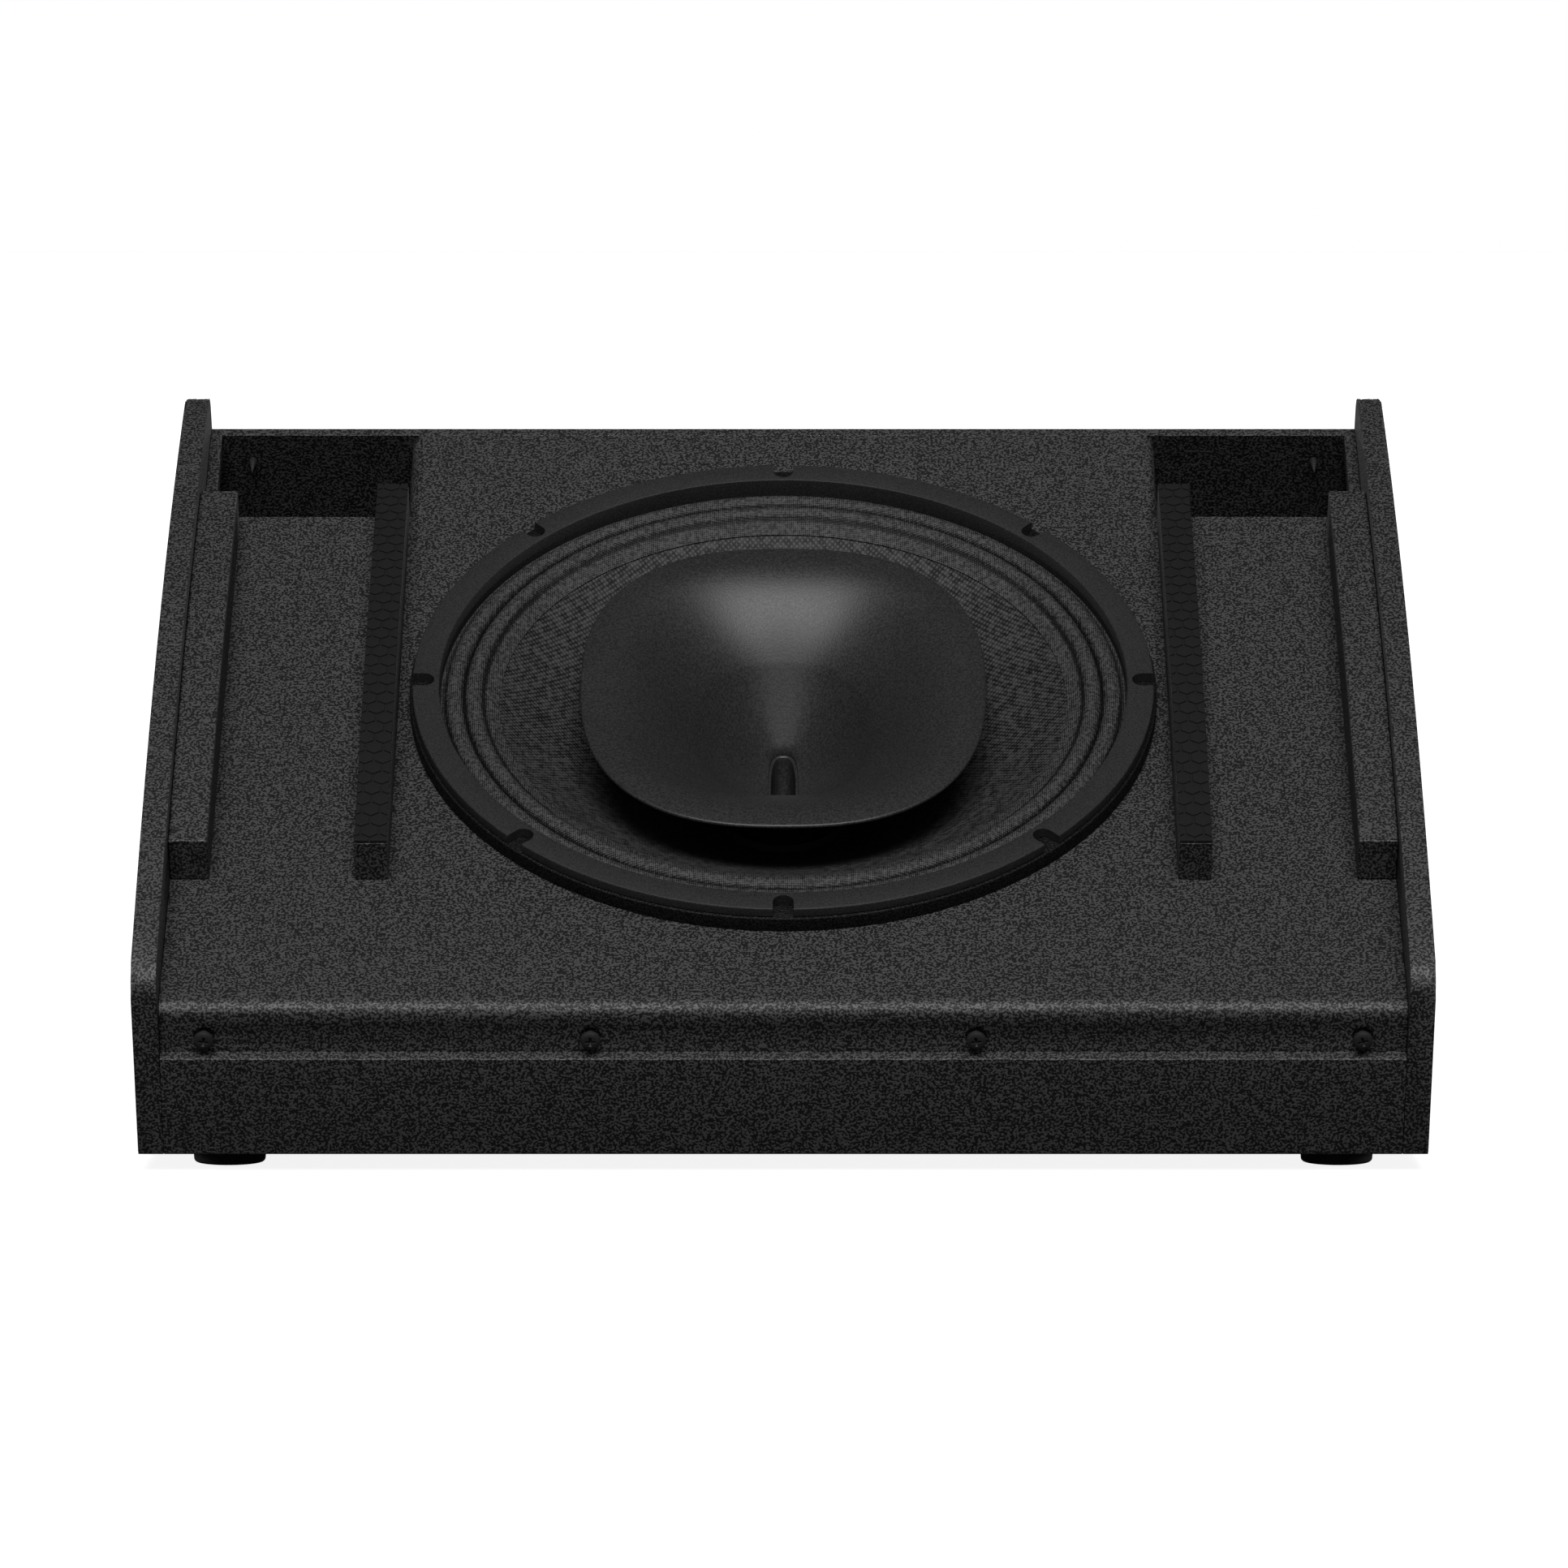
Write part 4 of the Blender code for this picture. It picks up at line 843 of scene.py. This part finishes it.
def polar_superellipse(half_width, half_height, power, count, n):
    """Superellipse with its points at even angles, which keeps the flare's lines straight."""
    points = []
    for i in range(count):
        angle = 2 * math.pi * i / count
        c, s = math.cos(angle), math.sin(angle)
        reach = (abs(c / half_width) ** power + abs(s / half_height) ** power) ** (-1 / power)
        points.append((reach * c, reach * s, n))
    return points


def between(start, end, share):
    return start + (end - start) * share


def horn_flare(half, rim_n, wall_steps, roll_steps):
    """Sections (half width, half height, power, height) from the throat to the flat rim."""
    sections = []
    for k in range(wall_steps):
        t = k / wall_steps
        width = between(THROAT_HALF[0], SHOULDER_HALF[0], t ** 0.75)
        height = between(THROAT_HALF[1], SHOULDER_HALF[1], t)
        sections.append((width, height, 2.9 - 0.6 * t ** 0.5, between(THROAT_N, SHOULDER_N, t)))
    for k in range(roll_steps + 1):
        v = 1.0 - k / roll_steps
        width = between(half[0] - HORN_SHELF, SHOULDER_HALF[0], v)
        height = between(half[1] - HORN_SHELF, SHOULDER_HALF[1], v)
        power = RIM_POWER + 0.5 * math.sin(math.pi * v) ** 2 - 0.2 * v
        sections.append((width, height, power, between(rim_n, SHOULDER_N, v ** ROLL_POWER)))
    return sections


def make_horn(count=192):
    """One closed skin: bore, throat slot, flare, rounded lip, then back down the outside."""
    base_n, rim_n = driver_span("horn")
    half = (extent("horn", ACROSS)[1] / MM, extent("horn", SLOPE, ORIGIN)[1] / MM)
    flare = horn_flare(half, rim_n, 18, 40)
    width, height, power, n = flare[0]
    rings = [(THROAT_EXIT_RADIUS, THROAT_EXIT_RADIUS, 2.0, base_n),
             (9.0, 19.0, 2.4, (base_n + THROAT_N) / 2)]
    for grow, lift in ((0.0, -4.0), (0.0, -1.2), (0.3, -0.8), (THROAT_RIM, -0.6),
                       (THROAT_RIM + 0.2, 1.2)):
        rings.append((width + grow, height + grow, power, n + lift))
    rings += flare[2:]
    for angle in range(0, 181, 30):
        a = math.radians(angle)
        inset = LIP_RADIUS * (1 - math.sin(a))
        drop = LIP_RADIUS * (1 - math.cos(a))
        rings.append((half[0] - inset, half[1] - inset, RIM_POWER, rim_n - drop))
    for width, height, power, n in reversed(flare[1:-1:2]):
        rings.append((width + 1.4, height + 1.4, power, n - HORN_WALL))
    rings += [(STEM_RADIUS, THROAT_HALF[1] + 4.0, 2.0, THROAT_N - 3.0),
              (STEM_RADIUS, STEM_RADIUS, 2.0, THROAT_N - 12.0),
              (STEM_RADIUS, STEM_RADIUS, 2.0, base_n)]
    shape = bmesh.new()
    loops = [polar_superellipse(w, h, p, count, n) for w, h, p, n in rings]
    add_loft(shape, loops, closed=True)
    piece("horn_moulded", shape, DRIVER, "horn_plastic", "horn", sharp=50.0)


# ---------------------------------------------------------------- rear fittings

def rearward(node, face):
    """Frame on the rear side: X across as seen from behind, Y up, Z out of the cabinet."""
    centre = box_centre(node)
    return axes_matrix(Vector((centre.x, face, centre.z)), Vector((-1, 0, 0)),
                       Vector((0, 0, 1)), Vector((0, 1, 0)))


def make_connector_plate():
    low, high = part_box("connector_plate")
    matrix = rearward("connector_plate", low.y)
    half = ((high.x - low.x) / 2 / MM, (high.z - low.z) / 2 / MM)
    thick = (high.y - low.y) / MM
    edge = 0.5
    shape = bmesh.new()
    rings = []
    for shrink, h in ((0.0, 0.0), (0.0, thick - edge), (edge * 0.3, thick - edge * 0.3),
                      (edge, thick)):
        outline = rounded_rectangle(half[0] - shrink, half[1] - shrink, 6.0 - shrink)
        rings.append([(a, b, h) for a, b in outline])
    add_loft(shape, rings)
    body = mesh_from("connector_plate", shape)
    holes = bmesh.new()
    for node in ("connector_input", "connector_link"):
        centre = (-(box_centre(node).x - box_centre("connector_plate").x) / MM, 0.0)
        stacked([(12.5, -5.0), (12.5, 10.0)], 64, holes, centre)
    for i in range(1, 5):
        place = box_centre("connector_plate_screw_%d" % i) - box_centre("connector_plate")
        stacked([(2.0, -5.0), (2.0, 10.0)], 24, holes, (-place.x / MM, place.z / MM))
    body = cut_away(body, mesh_from("holes", holes))
    body.transform(matrix)
    piece_from_mesh("connector_plate_coated", body, "plate_paint", CABINET, ["connector_plate"])


def make_connector(node):
    """Locking loudspeaker socket: flange, well with two key slots, core."""
    low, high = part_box(node)
    face = high.y - 2.6 * MM
    matrix = rearward(node, face)
    shape = bmesh.new()
    rings = [[(a, b, h) for a, b in circle(12.0, 64)] for h in (-24.0, -0.2)]
    add_loft(shape, rings)
    body = mesh_from(node, shape)
    flange = bmesh.new()
    rings = []
    for shrink, h in ((0.0, 0.0), (0.0, 2.0), (0.2, 2.4), (0.6, 2.6)):
        rings.append([(a, b, h) for a, b in
                      rounded_rectangle(13.0 - shrink, 15.5 - shrink, 3.0 - shrink)])
    add_loft(flange, rings)
    body = combined(body, mesh_from("flange", flange), 'UNION')
    well = turned([(SOCKET_CORE, -SOCKET_DEPTH), (SOCKET_WELL, -SOCKET_DEPTH),
                   (SOCKET_WELL, 1.6), (SOCKET_WELL + 0.9, 3.0), (SOCKET_CORE, 3.0)], 64)
    body = cut_away(body, mesh_from("well", well))
    keys = bmesh.new()
    for sign in (-1, 1):
        add_prism(keys, [(sign * 10.2, -1.6), (sign * 11.6, -1.6), (sign * 11.6, 1.6),
                         (sign * 10.2, 1.6)][::sign], -SOCKET_DEPTH + 1, 4.0)
    for x, z in ((-9.5, 12.2), (9.5, -12.2)):
        stacked([(1.6, 1.0), (1.6, 4.0)], 24, keys, (x, z))
    body = cut_away(body, mesh_from("keys", keys))
    body.transform(matrix)
    piece_from_mesh(node + "_moulded", body, "socket_plastic", CABINET, [node], 30.0)
    tip = bmesh.new()
    for x, z in ((-9.5, 12.2), (9.5, -12.2)):
        stacked([(1.3, 1.2), (1.3, 2.0), (0.9, 2.3)], 24, tip, (x, z))
    piece_from_mesh(node + "_rivets", mesh_from("rivets", tip, matrix), "screw_steel", CABINET, [])


def make_handle():
    """Recessed cup with a softly rounded flange, and a ribbed grip across it."""
    low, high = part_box("handle_cup")
    lip = 14.0
    flange_h = 3.0
    half = ((high.x - low.x) / 2 / MM - lip, (high.z - low.z) / 2 / MM - lip)
    depth = (high.y - low.y) / MM - flange_h
    matrix = rearward("handle_cup", high.y - flange_h * MM)
    wall = 2.5
    sections = [
        (half[0] - wall - 6.0, half[1] - wall - 6.0, 6.0, wall - depth),
        (half[0] - wall - 3.6, half[1] - wall - 3.6, 8.4, wall - depth + 0.8),
        (half[0] - wall - 2.9, half[1] - wall - 2.9, 9.0, wall - depth + 3.2),
        (half[0] - wall - 0.2, half[1] - wall - 0.2, 10.0, 0.0),
        (half[0] - wall + 0.3, half[1] - wall + 0.3, 10.4, 1.8),
        (half[0] - wall + 1.2, half[1] - wall + 1.2, 11.0, 2.7),
        (half[0] - wall + 2.4, half[1] - wall + 2.4, 12.0, flange_h),
        (half[0] + lip - 2.0, half[1] + lip - 2.0, 14.0, flange_h),
        (half[0] + lip - 0.6, half[1] + lip - 0.6, 15.4, 2.4),
        (half[0] + lip, half[1] + lip, 16.0, 1.2),
        (half[0] + lip, half[1] + lip, 16.0, 0.0),
        (half[0], half[1], 12.0, 0.0),
        (half[0] - 3.0, half[1] - 3.0, 10.0, -depth),
    ]
    shape = bmesh.new()
    add_loft(shape, [[(a, b, h) for a, b in rounded_rectangle(ha, hb, r, 8)]
                     for ha, hb, r, h in sections])
    piece("handle_cup_moulded", shape, matrix, "handle_plastic", "handle_cup")
    grip_low, grip_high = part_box("handle_grip")
    radius = (grip_high.z - grip_low.z) / 2 / MM
    reach = (grip_high.x - grip_low.x) / 2 / MM
    levels = [(radius * 0.8, -reach)]
    levels += [(radius * 0.8, -reach + 5.0), (radius, -reach + 7.0)]
    span = 2 * (reach - 9.0)
    for i in range(GRIP_RIBS):
        start = -reach + 9.0 + span * i / GRIP_RIBS
        pitch = span / GRIP_RIBS
        levels += [(radius, start), (radius, start + pitch * 0.6),
                   (radius - 0.5, start + pitch * 0.7), (radius - 0.5, start + pitch * 0.9)]
    levels += [(radius, reach - 7.0), (radius * 0.8, reach - 5.0), (radius * 0.8, reach)]
    centre = (grip_low + grip_high) / 2
    matrix = axes_matrix(centre, Vector((0, 1, 0)), Vector((0, 0, 1)), Vector((1, 0, 0)))
    piece("handle_grip_ribbed", stacked(levels, 48), matrix, "grip_rubber", "handle_grip")


# ---------------------------------------------------------------- inside

def make_lining():
    """Slab of foam on the cabinet's floor, soft at its edges."""
    obj = eased_panel("acoustic_foam", 5.0, 4)


def finish_carried_nodes():
    """Every CAD node that still shows gets its own finish."""
    replaced = {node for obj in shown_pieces() for node in obj.get("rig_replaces", [])}
    for node, obj in NODES.items():
        if node not in replaced:
            give_material(obj, NODE_SLOT[node])


# ---------------------------------------------------------------- stage, light and camera

def make_stage():
    """Pale floor that glows a little, so that the wedge's shadow on it stays faint."""
    shader = Shader("floor_paper", 0.9, specular=0.1)
    shader.colour(shader.noise(1.5), (0.13, 0.13, 0.13), (0.16, 0.16, 0.16))
    shader.set(shader.surface.inputs["Emission Color"], (1.0, 1.0, 1.0, 1.0))
    shader.set(shader.surface.inputs["Emission Strength"], FLOOR_GLOW)
    mesh = bpy.data.meshes.new("floor")
    signs = ((-1, -1), (1, -1), (1, 1), (-1, 1))
    corners = [(a * FLOOR_HALF, b * FLOOR_HALF, 0.0) for a, b in signs]
    mesh.from_pydata(corners, [], [(0, 1, 2, 3)])
    mesh.materials.append(shader.material)
    floor = bpy.data.objects.new("floor", mesh)
    floor.visible_diffuse = False
    floor.visible_glossy = False
    bpy.context.scene.collection.objects.link(floor)
    floor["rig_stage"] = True


def aim(obj, place, target):
    obj.location = place
    obj.rotation_euler = (Vector(target) - Vector(place)).to_track_quat('-Z', 'Y').to_euler()


def sky(tree, strength):
    made = tree.nodes.new("ShaderNodeBackground")
    made.inputs["Color"].default_value = (1.0, 1.0, 1.0, 1.0)
    made.inputs["Strength"].default_value = strength
    return made.outputs[0]


def make_lights():
    """White backdrop that lights little by itself, and suns from the front, the rear and both sides."""
    scene = bpy.context.scene
    world = bpy.data.worlds.new("studio")
    world.use_nodes = True
    tree = world.node_tree
    tree.nodes.clear()
    output = tree.nodes.new("ShaderNodeOutputWorld")
    mix = tree.nodes.new("ShaderNodeMixShader")
    path = tree.nodes.new("ShaderNodeLightPath")
    tree.links.new(path.outputs["Is Camera Ray"], mix.inputs[0])
    tree.links.new(sky(tree, SKY_FILL), mix.inputs[1])
    tree.links.new(sky(tree, SKY_SEEN), mix.inputs[2])
    tree.links.new(mix.outputs[0], output.inputs["Surface"])
    scene.world = world
    for name, energy, angle, place in LIGHTS:
        sun = bpy.data.lights.new(name, 'SUN')
        sun.energy = energy
        sun.angle = math.radians(angle)
        obj = bpy.data.objects.new(name, sun)
        scene.collection.objects.link(obj)
        aim(obj, place, LIGHT_TARGET)


def make_camera():
    """Long lens in front of the wedge, a little above it."""
    camera = bpy.data.cameras.new("camera")
    camera.lens = CAMERA_LENS
    camera.sensor_width = CAMERA_SENSOR
    camera.shift_x = CAMERA_SHIFT
    camera.clip_end = 100.0
    obj = bpy.data.objects.new("camera", camera)
    obj.location = CAMERA_PLACE
    obj.rotation_euler = (math.radians(CAMERA_PITCH), 0.0, 0.0)
    bpy.context.scene.collection.objects.link(obj)
    bpy.context.scene.camera = obj


def main():
    bpy.context.scene.view_settings.view_transform = 'Standard'
    make_camera()
    make_stage()
    make_lights()
    make_cabinet()
    for side in ("left", "right"):
        make_grille_pad(side)
    make_screws()
    make_feet()
    make_spacer_ring()
    make_basket()
    make_surround()
    make_cone()
    make_spider()
    make_horn()
    make_connector_plate()
    for node in ("connector_input", "connector_link"):
        make_connector(node)
    make_handle()
    make_lining()
    finish_carried_nodes()


main()
